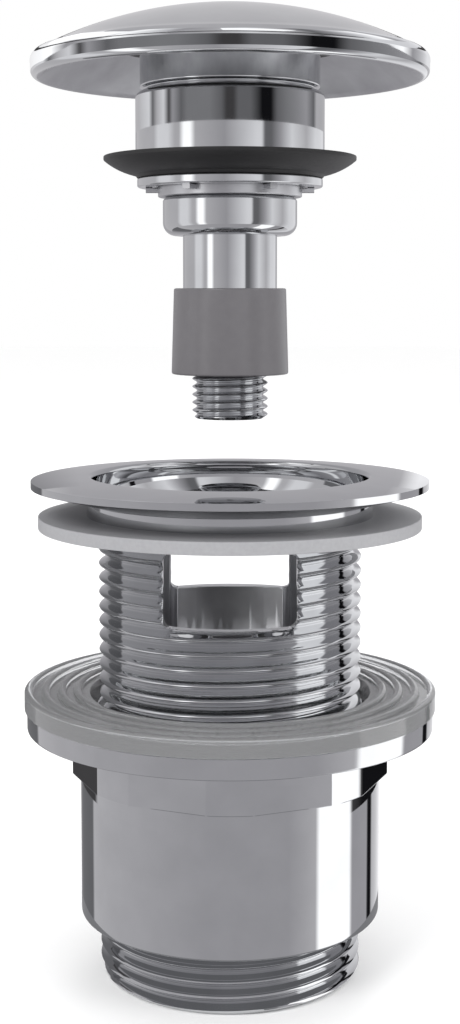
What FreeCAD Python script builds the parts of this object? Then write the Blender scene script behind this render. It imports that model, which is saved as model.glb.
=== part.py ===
import FreeCAD, Part
import math
import os

import Sketcher

# Pop up basin waste: a flanged sleeve that passes through the basin, a tail body that screws up
# under it, and a click plug that screws into the sleeve's boss. It is drawn as it comes out of the
# box, with the plug lifted off. Millimetres, +Z up, origin at the centre of the outlet's end face.

doc = FreeCAD.newDocument("basin_waste")
size = doc.addObject("Spreadsheet::Sheet", "size")

SIZES = [
    # Tail body, from the outlet up
    ("outlet_thread_radius", 20.955),
    ("outlet_thread_length", 9.8),
    ("outlet_bore_radius", 17.5),
    ("outlet_chamfer", 0.8),
    ("barrel_radius", 24.05),
    ("barrel_length", 22.5),
    ("ledge_thickness", 2.0),
    ("octagon_height", 7.5),
    ("octagon_half_flats", 24.55),
    ("octagon_corner_radius", 25.35),
    ("octagon_sides", 8),
    ("cutter_margin", 1.0),
    ("tail_flange_radius", 32.5),
    ("tail_flange_thickness", 3.3),
    ("tail_edge_round", 0.7),
    # Clear gasket on top of the tail flange
    ("gasket_radius", 32.9),
    ("gasket_thickness", 3.0),
    ("gasket_skin", 2.2),
    ("gasket_ring_pitch", 2.6),
    ("gasket_ring_width", 1.3),
    ("gasket_gap", 0.3),
    # Basin deck that the waste clamps, and the flat washer above it
    ("deck_gap", 25.7),
    ("washer_radius", 30.5),
    ("washer_thickness", 2.0),
    ("washer_gap", 0.3),
    # Flanged sleeve
    ("sleeve_thread_radius", 20.955),
    ("sleeve_wall", 2.955),
    ("sleeve_length", 38.0),
    ("sleeve_chamfer", 0.8),
    ("thread_fit", 0.045),
    ("hub_step", 1.895),
    ("rim_radius", 31.6),
    ("rim_thickness", 1.1),
    ("rim_round", 0.45),
    ("rim_crown_radius", 94.8),
    ("flange_rise", 6.3),
    ("rim_drop", 0.7),
    ("hub_height", 2.2),
    ("mouth_flare", 0.795),
    ("bowl_lip_round", 0.8),
    ("bowl_depth", 8.6),
    ("bowl_curve", 8.0),
    ("window_width", 20.1),
    ("window_height", 11.4),
    ("window_drop", 1.7),
    ("window_corner", 1.2),
    ("boss_drop", 23.9),
    ("boss_height", 8.0),
    ("boss_radius", 9.5),
    ("spoke_width", 4.5),
    ("spoke_count", 4),
    ("stud_fit", 0.05),
    # Click insert: threaded core and its grey collar
    ("plug_lift", 48.2),
    ("stud_radius", 6.0),
    ("stud_length", 7.0),
    ("stud_chamfer", 0.6),
    ("collar_height", 13.5),
    ("collar_foot_radius", 9.25),
    ("collar_top_radius", 8.85),
    ("collar_floor", 2.0),
    ("core_neck_radius", 4.0),
    ("core_flange_radius", 6.0),
    ("core_flange_thickness", 1.5),
    ("post_radius", 2.5),
    ("post_top", 26.0),
    ("press_gap", 0.03),
    ("running_gap", 0.05),
    # Cam drum, its clip, washer and spring
    ("stroke", 8.0),
    ("drum_radius", 5.2),
    ("drum_length", 15.4),
    ("drum_end_play", 0.15),
    ("groove_depth", 1.2),
    ("groove_half_width", 1.0),
    ("turn_pocket", 0.15),
    ("groove_lobes", 4),
    ("pin_radius", 0.9),
    ("pin_height", 16.0),
    ("pin_tip_gap", 0.2),
    ("clip_thickness", 0.6),
    ("clip_radius", 4.2),
    ("spring_washer_thickness", 0.6),
    ("spring_washer_radius", 5.8),
    ("spring_radius", 4.7),
    ("spring_wire_radius", 0.5),
    ("spring_turns", 6),
    ("spring_steps", 14),
    ("spring_wire_sides", 8),
    # Stem and sleeve that slide over the core
    ("stem_radius", 7.4),
    ("stem_wall", 1.2),
    ("stem_reach", 2.7),
    ("stem_show", 8.2),
    ("stem_roof_height", 36.0),
    ("stem_roof", 3.0),
    ("guide_radius", 10.55),
    ("guide_height", 6.0),
    ("guide_round", 2.0),
    ("guide_chamfer", 0.5),
    # Seal stack under the cup
    ("snap_radius", 11.3),
    ("ring_stand_off", 1.5),
    ("ring_thickness", 1.4),
    ("ring_radius", 14.55),
    ("ring_hole_radius", 12.0),
    ("prong_count", 6),
    ("prong_width", 1.3),
    ("prong_reach", 13.2),
    ("prong_thickness", 0.8),
    ("lip_radius", 19.8),
    ("lip_rise", 2.7),
    ("lip_edge", 0.8),
    ("seal_disc_radius", 14.5),
    ("seal_disc_thickness", 2.6),
    # Cup, neck and cap
    ("cup_radius", 14.8),
    ("cup_height", 10.7),
    ("cup_floor", 3.0),
    ("cup_wall", 1.5),
    ("cup_bevel", 0.6),
    ("groove_gap", 0.7),
    ("neck_radius", 14.1),
    ("neck_height", 6.3),
    ("neck_plate", 2.0),
    ("spigot_depth", 3.0),
    ("spigot_gap", 0.1),
    ("cap_gasket_radius", 18.85),
    ("cap_gasket_hole_radius", 8.0),
    ("cap_gasket_thickness", 2.0),
    ("cap_radius", 31.0),
    ("cap_dish_depth", 7.0),
    ("cap_height", 11.1),
    ("cap_edge_height", 4.0),
    ("cap_edge_width", 1.5),
    ("cap_edge_lip", 0.1),
    ("cap_dish_curve", 26.0),
    ("cap_stud_radius", 2.5),
    ("cap_stud_grip", 2.8),
]

for row, (alias, number) in enumerate(SIZES, start=1):
    size.set(f"A{row}", alias.replace("_", " "))
    size.set(f"B{row}", str(number))
    size.setAlias(f"B{row}", alias)
doc.recompute()

# Heights up the fixed parts, as expressions of the sheet
BARREL_FOOT = "size.outlet_thread_length"
LEDGE = f"({BARREL_FOOT} + size.ledge_thickness)"
OCTAGON_FOOT = f"({BARREL_FOOT} + size.barrel_length)"
TAIL_FLANGE_FOOT = f"({OCTAGON_FOOT} + size.octagon_height)"
GASKET_FOOT = f"({TAIL_FLANGE_FOOT} + size.tail_flange_thickness)"
GASKET_TOP = f"({GASKET_FOOT} + size.gasket_thickness)"
SEAT = f"({GASKET_TOP} + size.deck_gap)"
WASHER_TOP = f"({SEAT} + size.washer_thickness)"
FLANGE_TOP = f"({WASHER_TOP} + size.flange_rise)"
SLEEVE_FOOT = f"({SEAT} - size.sleeve_length)"
BOSS_TOP = f"({SEAT} - size.boss_drop)"
BOSS_FOOT = f"({BOSS_TOP} - size.boss_height)"

# Radii that follow the sleeve's thread
SLEEVE_BORE = "(size.sleeve_thread_radius - size.sleeve_wall)"
HUB = "(size.sleeve_thread_radius + size.hub_step)"
BOWL_MOUTH = "(size.sleeve_thread_radius + size.mouth_flare)"

# Heights up the plug, measured from the foot of its stud
COLLAR_FOOT = "size.stud_length"
COLLAR_INSIDE = f"({COLLAR_FOOT} + size.collar_floor)"
COLLAR_TOP = f"({COLLAR_FOOT} + size.collar_height)"
CORE_SHOULDER = f"({COLLAR_INSIDE} + size.core_flange_thickness)"
DRUM_FOOT = f"({CORE_SHOULDER} + size.drum_end_play)"
DRUM_TOP = f"({DRUM_FOOT} + size.drum_length)"
CLIP_FOOT = f"({DRUM_TOP} + size.drum_end_play)"
CLIP_TOP = f"({CLIP_FOOT} + size.clip_thickness)"
SPRING_FOOT = f"({CLIP_TOP} + size.spring_washer_thickness)"
STEM_FOOT = f"({COLLAR_TOP} - size.stem_reach)"
STEM_ROOF = f"({COLLAR_FOOT} + size.stem_roof_height)"
STEM_TOP = f"({STEM_ROOF} + size.stem_roof)"
GUIDE_FOOT = f"({COLLAR_TOP} + size.stem_show)"
GUIDE_TOP = f"({GUIDE_FOOT} + size.guide_height)"
RING_FOOT = f"({GUIDE_TOP} + size.ring_stand_off)"
RING_TOP = f"({RING_FOOT} + size.ring_thickness)"
SEAL_DISC_TOP = f"({RING_TOP} + size.seal_disc_thickness)"
CUP_TOP = f"({SEAL_DISC_TOP} + size.cup_height)"
NECK_FOOT = f"({CUP_TOP} + size.groove_gap)"
NECK_TOP = f"({NECK_FOOT} + size.neck_height)"
CAP_INSIDE = f"({NECK_TOP} + size.cap_gasket_thickness)"
CAP_RIM = f"({CAP_INSIDE} - size.cap_dish_depth)"
CAP_TOP = f"({CAP_RIM} + size.cap_height)"
PLUG_PLACE = f"({BOSS_TOP} + size.plug_lift - size.stud_length)"

STEM_BORE = "(size.stem_radius - size.stem_wall)"
STEM_HOLE = "(size.stem_radius + size.running_gap)"
GROOVE_FLOOR = "(size.drum_radius - size.groove_depth)"

# Nearest that two places count as the same
TOLERANCE = 0.001


def value(text):
    """The number that an expression of the sheet gives."""
    return float(size.evalExpression(text))


def origin_plane(body, role):
    return next(item for item in body.Origin.OriginFeatures if item.Role == role)


def new_body(label, height=None):
    """An empty body, lifted to its place by an expression."""
    body = doc.addObject("PartDesign::Body", label)
    body.Label = label
    if height:
        body.setExpression("Placement.Base.z", height)
    return body


def new_sketch(body, name, role, offset=None):
    sketch = body.newObject("Sketcher::SketchObject", name)
    sketch.AttachmentSupport = (origin_plane(body, role), [""])
    sketch.MapMode = "FlatFace"
    if offset:
        sketch.setExpression("AttachmentOffset.Base.z", offset)
    return sketch


def arc_through(start, end, radius, side):
    """The short arc from start to end that bulges to the left or right of the way it runs."""
    run = end - start
    half = run.Length / 2
    left = FreeCAD.Vector(-run.y, run.x, 0).normalize()
    bulge = left if side == "left" else left.negative()
    sagitta = radius - math.sqrt(radius * radius - half * half)
    middle = (start + end) * 0.5 + bulge * sagitta
    return Part.Arc(start, middle, end)


def pin_down(sketch, edge, point, across, up):
    """Hold one corner at a distance from each axis, both taken from the sheet."""
    for kind, text, axis in (("DistanceX", across, -2), ("DistanceY", up, -1)):
        if text == "0":
            sketch.addConstraint(Sketcher.Constraint("PointOnObject", edge, point, axis))
            continue
        rule = Sketcher.Constraint(kind, -1, 1, edge, point, value(text))
        index = sketch.addConstraint(rule)
        sketch.setExpression(f"Constraints[{index}]", text)


def draw_outline(sketch, corners):
    """A closed outline of corners (across, up), or (across, up, side, radius) where an arc starts."""
    places = [FreeCAD.Vector(value(corner[0]), value(corner[1]), 0) for corner in corners]
    ends = []
    for index, corner in enumerate(corners):
        start = places[index]
        end = places[(index + 1) % len(places)]
        curved = len(corner) == 4
        if curved:
            shape = arc_through(start, end, value(corner[3]), corner[2])
        else:
            shape = Part.LineSegment(start, end)
        edge = sketch.addGeometry(shape, False)
        forward = (sketch.getPoint(edge, 1) - start).Length < (sketch.getPoint(edge, 2) - start).Length
        ends.append((edge, 1, 2) if forward else (edge, 2, 1))
        if curved:
            rule = sketch.addConstraint(Sketcher.Constraint("Radius", edge, value(corner[3])))
            sketch.setExpression(f"Constraints[{rule}]", corner[3])
    for index, corner in enumerate(corners):
        edge, first, last = ends[index]
        before = ends[index - 1]
        sketch.addConstraint(Sketcher.Constraint("Coincident", before[0], before[2], edge, first))
        pin_down(sketch, edge, first, corner[0], corner[1])


def draw_circle(sketch, radius):
    circle = Part.Circle(FreeCAD.Vector(), FreeCAD.Vector(0, 0, 1), value(radius))
    edge = sketch.addGeometry(circle, False)
    sketch.addConstraint(Sketcher.Constraint("Coincident", edge, 3, -1, 1))
    rule = sketch.addConstraint(Sketcher.Constraint("Radius", edge, value(radius)))
    sketch.setExpression(f"Constraints[{rule}]", radius)


def draw_block(sketch, left, right, low, high):
    """A rectangle between four distances from the axes; the distances may be negative."""
    places = [(left, low), (right, low), (right, high), (left, high)]
    vectors = [FreeCAD.Vector(value(across), value(up), 0) for across, up in places]
    edges = [
        sketch.addGeometry(Part.LineSegment(vectors[i], vectors[(i + 1) % 4]), False)
        for i in range(4)
    ]
    for i in range(4):
        sketch.addConstraint(Sketcher.Constraint("Coincident", edges[i - 1], 2, edges[i], 1))
        pin_down(sketch, edges[i], 1, places[i][0], places[i][1])


def revolve(body, name, corners):
    sketch = new_sketch(body, f"{name}_profile", "XZ_Plane")
    draw_outline(sketch, corners)
    turned = body.newObject("PartDesign::Revolution", name)
    turned.Profile = sketch
    turned.ReferenceAxis = (sketch, ["V_Axis"])
    turned.Angle = 360
    sketch.Visibility = False
    doc.recompute()
    return turned


def turned_piece(label, corners, height=None):
    body = new_body(label, height)
    revolve(body, f"{label}_turning", corners)
    return body


def ring_edges(feature, rings):
    """Names of the circular edges that lie at the given radius and height."""
    wanted = [(value(radius), value(height)) for radius, height in rings]
    found = []
    for number, edge in enumerate(feature.Shape.Edges, start=1):
        if not isinstance(edge.Curve, Part.Circle):
            continue
        for radius, height in wanted:
            centre = edge.Curve.Center
            centred = math.hypot(centre.x, centre.y) < TOLERANCE
            same_radius = abs(edge.Curve.Radius - radius) < TOLERANCE
            if centred and same_radius and abs(centre.z - height) < TOLERANCE:
                found.append(f"Edge{number}")
    if len(found) < len(rings):
        raise ValueError(f"{feature.Name}: an edge to round or bevel is missing")
    return found


def dress_edges(body, kind, rings, amount):
    """A Fillet or a Chamfer on whole circular edges."""
    base = body.Tip
    dressed = body.newObject(f"PartDesign::{kind}", f"{body.Label}_{kind.lower()}")
    dressed.Base = (base, ring_edges(base, rings))
    dressed.setExpression("Radius" if kind == "Fillet" else "Size", amount)
    doc.recompute()
    return dressed


def polar_pattern(body, feature, count):
    pattern = body.newObject("PartDesign::PolarPattern", f"{feature.Name}_pattern")
    pattern.Originals = [feature]
    pattern.Axis = (origin_plane(body, "Z_Axis"), [""])
    pattern.Angle = 360
    pattern.setExpression("Occurrences", count)
    body.Tip = pattern
    doc.recompute()
    return pattern


def ring(inner, outer, low, high):
    """Outline of a plain ring."""
    return [(inner, low), (outer, low), (outer, high), (inner, high)]


def make_tail_body():
    """Outlet thread, barrel, octagonal band for the spanner and the clamping flange."""
    bore = "(size.sleeve_thread_radius + size.thread_fit)"
    body = turned_piece("tail_body", [
        ("size.outlet_bore_radius", "0"),
        ("size.outlet_thread_radius - size.outlet_chamfer", "0"),
        ("size.outlet_thread_radius", "size.outlet_chamfer"),
        ("size.outlet_thread_radius", BARREL_FOOT),
        ("size.barrel_radius", BARREL_FOOT),
        ("size.barrel_radius", OCTAGON_FOOT),
        ("size.octagon_corner_radius", OCTAGON_FOOT),
        ("size.octagon_corner_radius", TAIL_FLANGE_FOOT),
        ("size.tail_flange_radius", TAIL_FLANGE_FOOT),
        ("size.tail_flange_radius", GASKET_FOOT),
        (bore, GASKET_FOOT),
        (bore, LEDGE),
        ("size.outlet_bore_radius", LEDGE),
    ])
    edges = [("size.tail_flange_radius", TAIL_FLANGE_FOOT), ("size.tail_flange_radius", GASKET_FOOT)]
    dress_edges(body, "Fillet", edges, "size.tail_edge_round")
    sketch = new_sketch(body, "flat_outline", "XY_Plane", OCTAGON_FOOT)
    reach = "(size.octagon_corner_radius + size.cutter_margin)"
    draw_block(sketch, "size.octagon_half_flats", reach, f"-{reach} / 2", f"{reach} / 2")
    flat = body.newObject("PartDesign::Pocket", "spanner_flat")
    flat.Profile = sketch
    flat.Reversed = True
    flat.setExpression("Length", "size.octagon_height")
    sketch.Visibility = False
    sketch.setExpression("AttachmentOffset.Rotation.Angle", "180 / size.octagon_sides")
    sketch.AttachmentOffset.Rotation.Axis = FreeCAD.Vector(0, 0, 1)
    doc.recompute()
    polar_pattern(body, flat, "size.octagon_sides")
    return body


def make_deck_gasket():
    """Clear gasket with concentric sealing rings, seated on the tail flange."""
    inner = "(size.sleeve_thread_radius + size.gasket_gap)"
    skin_top = f"({GASKET_FOOT} + size.gasket_skin)"
    corners = [(inner, GASKET_FOOT), ("size.gasket_radius", GASKET_FOOT)]
    rings = value(f"size.gasket_radius - {inner}") / value("size.gasket_ring_pitch")
    for index in range(int(rings)):
        outer_side = f"(size.gasket_radius - {index} * size.gasket_ring_pitch)"
        inner_side = f"({outer_side} - size.gasket_ring_width)"
        corners.append((outer_side, GASKET_TOP))
        corners.append((inner_side, GASKET_TOP))
        corners.append((inner_side, skin_top))
        corners.append((f"(size.gasket_radius - {index + 1} * size.gasket_ring_pitch)", skin_top))
    corners[-1] = (inner, skin_top)
    return turned_piece("deck_gasket", corners)


def make_flange_sleeve():
    """Dished flange, overflow windows and a boss on four spokes, in one casting."""
    rim_top = f"({FLANGE_TOP} - size.rim_drop)"
    bowl_foot = f"({FLANGE_TOP} - size.bowl_depth)"
    sleeve_edge = "(size.sleeve_thread_radius - size.sleeve_chamfer)"
    body = turned_piece("flange_sleeve", [
        (SLEEVE_BORE, SLEEVE_FOOT),
        (sleeve_edge, SLEEVE_FOOT),
        ("size.sleeve_thread_radius", f"({SLEEVE_FOOT} + size.sleeve_chamfer)"),
        ("size.sleeve_thread_radius", WASHER_TOP),
        (HUB, WASHER_TOP),
        (HUB, f"({WASHER_TOP} + size.hub_height)"),
        ("size.rim_radius", f"({rim_top} - size.rim_thickness)"),
        ("size.rim_radius", rim_top, "right", "size.rim_crown_radius"),
        (BOWL_MOUTH, FLANGE_TOP, "left", "size.bowl_curve"),
        (SLEEVE_BORE, bowl_foot),
    ])
    dress_edges(body, "Fillet", [("size.rim_radius", rim_top)], "size.rim_round")
    lip = dress_edges(body, "Fillet", [(BOWL_MOUTH, FLANGE_TOP)], "size.bowl_lip_round")
    lip.Label = "bowl_lip"
    sketch = new_sketch(body, "window_outline", "XZ_Plane")
    high = f"({SEAT} - size.window_drop)"
    low = f"({high} - size.window_height)"
    draw_block(sketch, "-size.window_width / 2", "size.window_width / 2", low, high)
    window = body.newObject("PartDesign::Pocket", "overflow_windows")
    window.Profile = sketch
    window.Midplane = True
    window.setExpression("Length", "size.rim_radius * 2")
    sketch.Visibility = False
    doc.recompute()
    round_window_corners(body, window, low, high)
    add_boss(body)
    return body


def round_window_corners(body, window, low, high):
    """Round the four corners of each window, which run along Y."""
    half = value("size.window_width / 2")
    levels = (value(low), value(high))
    names = []
    for number, edge in enumerate(window.Shape.Edges, start=1):
        ends = [vertex.Point for vertex in edge.Vertexes]
        if len(ends) != 2:
            continue
        run = ends[1] - ends[0]
        if math.hypot(run.x, run.z) > TOLERANCE:
            continue
        at_side = abs(abs(ends[0].x) - half) < TOLERANCE
        at_level = min(abs(ends[0].z - level) for level in levels) < TOLERANCE
        if at_side and at_level:
            names.append(f"Edge{number}")
    corners = body.newObject("PartDesign::Fillet", "window_corners")
    corners.Base = (window, names)
    corners.setExpression("Radius", "size.window_corner")
    doc.recompute()


def add_boss(body):
    """Two crossed bars through the bore carry the boss that the plug screws into."""
    bar_sketch = new_sketch(body, "spoke_outline", "XY_Plane", BOSS_FOOT)
    reach = f"(({SLEEVE_BORE} + size.sleeve_thread_radius) / 2)"
    half = "size.spoke_width / 2"
    draw_block(bar_sketch, f"-{reach}", reach, f"-{half}", half)
    bar = body.newObject("PartDesign::Pad", "spokes")
    bar.Profile = bar_sketch
    bar.setExpression("Length", "size.boss_height")
    bar_sketch.Visibility = False
    doc.recompute()
    pattern = polar_pattern(body, bar, "size.spoke_count")
    pattern.Label = "crossed_spokes"
    boss_sketch = new_sketch(body, "boss_outline", "XY_Plane", BOSS_FOOT)
    draw_circle(boss_sketch, "size.boss_radius")
    boss = body.newObject("PartDesign::Pad", "boss")
    boss.Profile = boss_sketch
    boss.setExpression("Length", "size.boss_height")
    boss_sketch.Visibility = False
    hole_sketch = new_sketch(body, "boss_hole_outline", "XY_Plane", BOSS_FOOT)
    draw_circle(hole_sketch, "size.stud_radius + size.stud_fit")
    hole = body.newObject("PartDesign::Pocket", "boss_hole")
    hole.Profile = hole_sketch
    hole.Reversed = True
    hole.setExpression("Length", "size.boss_height")
    hole_sketch.Visibility = False
    doc.recompute()


def make_flange_washer():
    inner = "(size.sleeve_thread_radius + size.washer_gap)"
    return turned_piece("flange_washer", ring(inner, "size.washer_radius", SEAT, WASHER_TOP))


def make_threaded_core():
    """Stud that screws into the boss, and the post that carries the cam drum."""
    return turned_piece("threaded_core", [
        ("0", "0"),
        ("size.stud_radius - size.stud_chamfer", "0"),
        ("size.stud_radius", "size.stud_chamfer"),
        ("size.stud_radius", COLLAR_FOOT),
        ("size.core_neck_radius", COLLAR_FOOT),
        ("size.core_neck_radius", COLLAR_INSIDE),
        ("size.core_flange_radius", COLLAR_INSIDE),
        ("size.core_flange_radius", CORE_SHOULDER),
        ("size.post_radius", CORE_SHOULDER),
        ("size.post_radius", f"{COLLAR_FOOT} + size.post_top"),
        ("0", f"{COLLAR_FOOT} + size.post_top"),
    ], PLUG_PLACE)


def make_guide_collar():
    """Grey plastic collar that the stem slides into; its floor is held by the core."""
    return turned_piece("guide_collar", [
        ("size.core_neck_radius + size.press_gap", COLLAR_FOOT),
        ("size.collar_foot_radius", COLLAR_FOOT),
        ("size.collar_top_radius", COLLAR_TOP),
        (STEM_HOLE, COLLAR_TOP),
        (STEM_HOLE, COLLAR_INSIDE),
        ("size.core_neck_radius + size.press_gap", COLLAR_INSIDE),
    ], PLUG_PLACE)


def helix_cutter(left_handed):
    """One leg of the zigzag groove, swept up a helix by one stroke."""
    stroke = value("size.stroke")
    turn = stroke * 2 * value("size.groove_lobes")
    middle = value("size.drum_radius")
    path = Part.makeHelix(turn, stroke, middle, 0, left_handed)
    slope = math.atan2(turn, 2 * math.pi * middle)
    half = value("size.groove_half_width") / math.sin(slope)
    inner = value(GROOVE_FLOOR)
    outer = middle + value("size.groove_depth")
    points = [(inner, -half), (outer, -half), (outer, half), (inner, half), (inner, -half)]
    outline = Part.makePolygon([FreeCAD.Vector(x, y, 0) for x, y in points])
    return Part.Wire(path.Edges).makePipeShell([outline], True, True)


def corner_cutter():
    """Round turning point of the groove, a little wider and deeper than the legs."""
    start = FreeCAD.Vector(value(f"{GROOVE_FLOOR} - size.turn_pocket"), 0, 0)
    radius = value("size.groove_half_width + size.turn_pocket")
    return Part.makeCylinder(radius, value("size.groove_depth * 2"), start, FreeCAD.Vector(1, 0, 0))


def make_cam_drum():
    """Drum with a closed zigzag groove: each press or release turns it by one leg."""
    low = value(DRUM_FOOT)
    bore = value("size.post_radius + size.running_gap")
    drum = Part.makeCylinder(value("size.drum_radius"), value("size.drum_length"), FreeCAD.Vector(0, 0, low))
    drum = drum.cut(Part.makeCylinder(bore, value("size.drum_length"), FreeCAD.Vector(0, 0, low)))
    top = value(f"{COLLAR_FOOT} + size.pin_height")
    bottom = top - value("size.stroke")
    lobes = int(value("size.groove_lobes"))
    step = 360 / lobes
    axis = FreeCAD.Vector(0, 0, 1)
    corners = []
    legs = []
    for lobe in range(lobes):
        valley = step * (lobe + 0.5)
        for angle, height in ((valley, bottom), (step * lobe, top)):
            corner = corner_cutter()
            corner.rotate(FreeCAD.Vector(), axis, angle)
            corner.translate(FreeCAD.Vector(0, 0, height))
            corners.append(corner)
        for left_handed in (False, True):
            leg = helix_cutter(left_handed)
            leg.rotate(FreeCAD.Vector(), axis, valley)
            leg.translate(FreeCAD.Vector(0, 0, bottom))
            legs.append(leg)
    for cutter in corners + legs:
        drum = drum.cut(cutter)
    piece = doc.addObject("Part::Feature", "cam_drum")
    piece.Shape = drum
    piece.Placement = FreeCAD.Placement(FreeCAD.Vector(0, 0, value(PLUG_PLACE)), FreeCAD.Rotation())
    return piece


def make_core_clip():
    inner = "(size.post_radius + size.press_gap)"
    return turned_piece("core_clip", ring(inner, "size.clip_radius", CLIP_FOOT, CLIP_TOP), PLUG_PLACE)


def make_spring_washer():
    inner = "(size.post_radius + size.running_gap)"
    outline = ring(inner, "size.spring_washer_radius", CLIP_TOP, SPRING_FOOT)
    return turned_piece("spring_washer", outline, PLUG_PLACE)


def wire_section(turn):
    """Outline of the spring's wire at a number of turns from its foot."""
    wire = value("size.spring_wire_radius")
    low = value(SPRING_FOOT) + wire
    rise = value(STEM_ROOF) - wire - low
    height = low + rise * turn / value("size.spring_turns")
    sides = int(value("size.spring_wire_sides"))
    twist = FreeCAD.Rotation(FreeCAD.Vector(0, 0, 1), 360 * turn)
    corners = []
    for side in range(sides + 1):
        angle = 2 * math.pi * (side % sides) / sides
        across = value("size.spring_radius") + wire * math.cos(angle)
        corners.append(twist.multVec(FreeCAD.Vector(across, 0, height + wire * math.sin(angle))))
    return Part.makePolygon(corners)


def make_click_spring():
    """Compression spring between the washer and the roof of the stem, lofted from wire sections."""
    steps = int(value("size.spring_steps"))
    count = steps * int(value("size.spring_turns"))
    sections = [wire_section(index / steps) for index in range(count + 1)]
    piece = doc.addObject("Part::Feature", "click_spring")
    piece.Shape = Part.makeLoft(sections, True, True)
    piece.Placement = FreeCAD.Placement(FreeCAD.Vector(0, 0, value(PLUG_PLACE)), FreeCAD.Rotation())
    return piece


def make_stem_tube():
    """Chromed tube that slides in the collar, with blind holes for the two cam pins."""
    body = turned_piece("stem_tube", [
        (STEM_BORE, STEM_FOOT),
        ("size.stem_radius", STEM_FOOT),
        ("size.stem_radius", STEM_TOP),
        ("size.cap_stud_radius + size.press_gap", STEM_TOP),
        ("size.cap_stud_radius + size.press_gap", STEM_ROOF),
        (STEM_BORE, STEM_ROOF),
    ], PLUG_PLACE)
    sketch = new_sketch(body, "pin_hole_outline", "YZ_Plane")
    radius = "(size.pin_radius + size.press_gap)"
    height = f"({COLLAR_FOOT} + size.pin_height)"
    centre = FreeCAD.Vector(0, value(height), 0)
    edge = sketch.addGeometry(Part.Circle(centre, FreeCAD.Vector(0, 0, 1), value(radius)), False)
    pin_down(sketch, edge, 3, "0", height)
    rule = sketch.addConstraint(Sketcher.Constraint("Radius", edge, value(radius)))
    sketch.setExpression(f"Constraints[{rule}]", radius)
    holes = body.newObject("PartDesign::Pocket", "pin_holes")
    holes.Profile = sketch
    holes.Midplane = True
    holes.setExpression("Length", "(size.stem_radius - size.stem_wall / 2) * 2")
    sketch.Visibility = False
    doc.recompute()
    return body


def make_cam_pins():
    """Two short pins, pressed into the stem from inside, that run in the drum's groove."""
    inner = f"({GROOVE_FLOOR} + size.pin_tip_gap)"
    outer = "(size.stem_radius - size.stem_wall / 2)"
    pins = []
    for index, side in enumerate((1, -1)):
        pin = doc.addObject("Part::Cylinder", f"cam_pin_{index + 1}")
        pin.setExpression("Radius", "size.pin_radius")
        pin.setExpression("Height", f"{outer} - {inner} - size.press_gap")
        pin.Placement.Rotation = FreeCAD.Rotation(FreeCAD.Vector(0, 1, 0), 90 * side)
        pin.setExpression("Placement.Base.x", f"{side} * {inner}")
        pin.setExpression("Placement.Base.z", f"{COLLAR_FOOT} + size.pin_height")
        pins.append(pin)
    group = doc.addObject("Part::Compound", "cam_pins")
    group.Links = pins
    group.setExpression("Placement.Base.z", PLUG_PLACE)
    return group


def make_guide_sleeve():
    body = turned_piece("guide_sleeve", ring(STEM_HOLE, "size.guide_radius", GUIDE_FOOT, GUIDE_TOP), PLUG_PLACE)
    dress_edges(body, "Fillet", [("size.guide_radius", GUIDE_FOOT)], "size.guide_round")
    dress_edges(body, "Chamfer", [("size.guide_radius", GUIDE_TOP)], "size.guide_chamfer")
    return body


def make_snap_ring():
    """Hub whose prongs hold the seal ring up against the lip seal."""
    hub = ring(STEM_HOLE, "size.snap_radius", GUIDE_TOP, RING_TOP)
    body = turned_piece("snap_ring", hub, PLUG_PLACE)
    sketch = new_sketch(body, "prong_outline", "XY_Plane", f"{RING_FOOT} - size.prong_thickness")
    half = "size.prong_width / 2"
    draw_block(sketch, "(size.snap_radius + size.stem_radius) / 2", "size.prong_reach", f"-{half}", half)
    prong = body.newObject("PartDesign::Pad", "prong")
    prong.Profile = sketch
    prong.setExpression("Length", "size.prong_thickness")
    sketch.Visibility = False
    doc.recompute()
    polar_pattern(body, prong, "size.prong_count")
    return body


def make_seal_ring():
    outline = ring("size.ring_hole_radius", "size.ring_radius", RING_FOOT, RING_TOP)
    return turned_piece("seal_ring", outline, PLUG_PLACE)


def make_lip_seal():
    """Rubber disc clamped under the cup, with a lip that rises outwards."""
    lip_low = f"({RING_TOP} + size.lip_rise)"
    return turned_piece("lip_seal", [
        (STEM_HOLE, RING_TOP),
        ("size.seal_disc_radius", RING_TOP),
        ("size.lip_radius", lip_low),
        ("size.lip_radius", f"({lip_low} + size.lip_edge)"),
        ("size.cup_radius + size.lip_edge", SEAL_DISC_TOP),
        (STEM_HOLE, SEAL_DISC_TOP),
    ], PLUG_PLACE)


def make_head_cup():
    floor_top = f"({SEAL_DISC_TOP} + size.cup_floor)"
    inside = "(size.cup_radius - size.cup_wall)"
    body = turned_piece("head_cup", [
        (STEM_HOLE, SEAL_DISC_TOP),
        ("size.cup_radius", SEAL_DISC_TOP),
        ("size.cup_radius", CUP_TOP),
        (inside, CUP_TOP),
        (inside, floor_top),
        (STEM_HOLE, floor_top),
    ], PLUG_PLACE)
    dress_edges(body, "Chamfer", [("size.cup_radius", CUP_TOP)], "size.cup_bevel")
    return body


def make_cap_neck():
    """Neck under the cap, with a spigot that drops into the cup."""
    spigot = "(size.cup_radius - size.cup_wall - size.spigot_gap)"
    inside = f"({spigot} - size.cup_wall)"
    spigot_foot = f"({NECK_FOOT} - size.groove_gap - size.spigot_depth)"
    plate_foot = f"({NECK_TOP} - size.neck_plate)"
    hole = "(size.cap_stud_radius + size.press_gap)"
    return turned_piece("cap_neck", [
        (inside, spigot_foot),
        (spigot, spigot_foot),
        (spigot, NECK_FOOT),
        ("size.neck_radius", NECK_FOOT),
        ("size.neck_radius", NECK_TOP),
        (hole, NECK_TOP),
        (hole, plate_foot),
        (inside, plate_foot),
    ], PLUG_PLACE)


def make_cap_gasket():
    outline = ring("size.cap_gasket_hole_radius", "size.cap_gasket_radius", NECK_TOP, CAP_INSIDE)
    return turned_piece("cap_gasket", outline, PLUG_PLACE)


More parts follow.
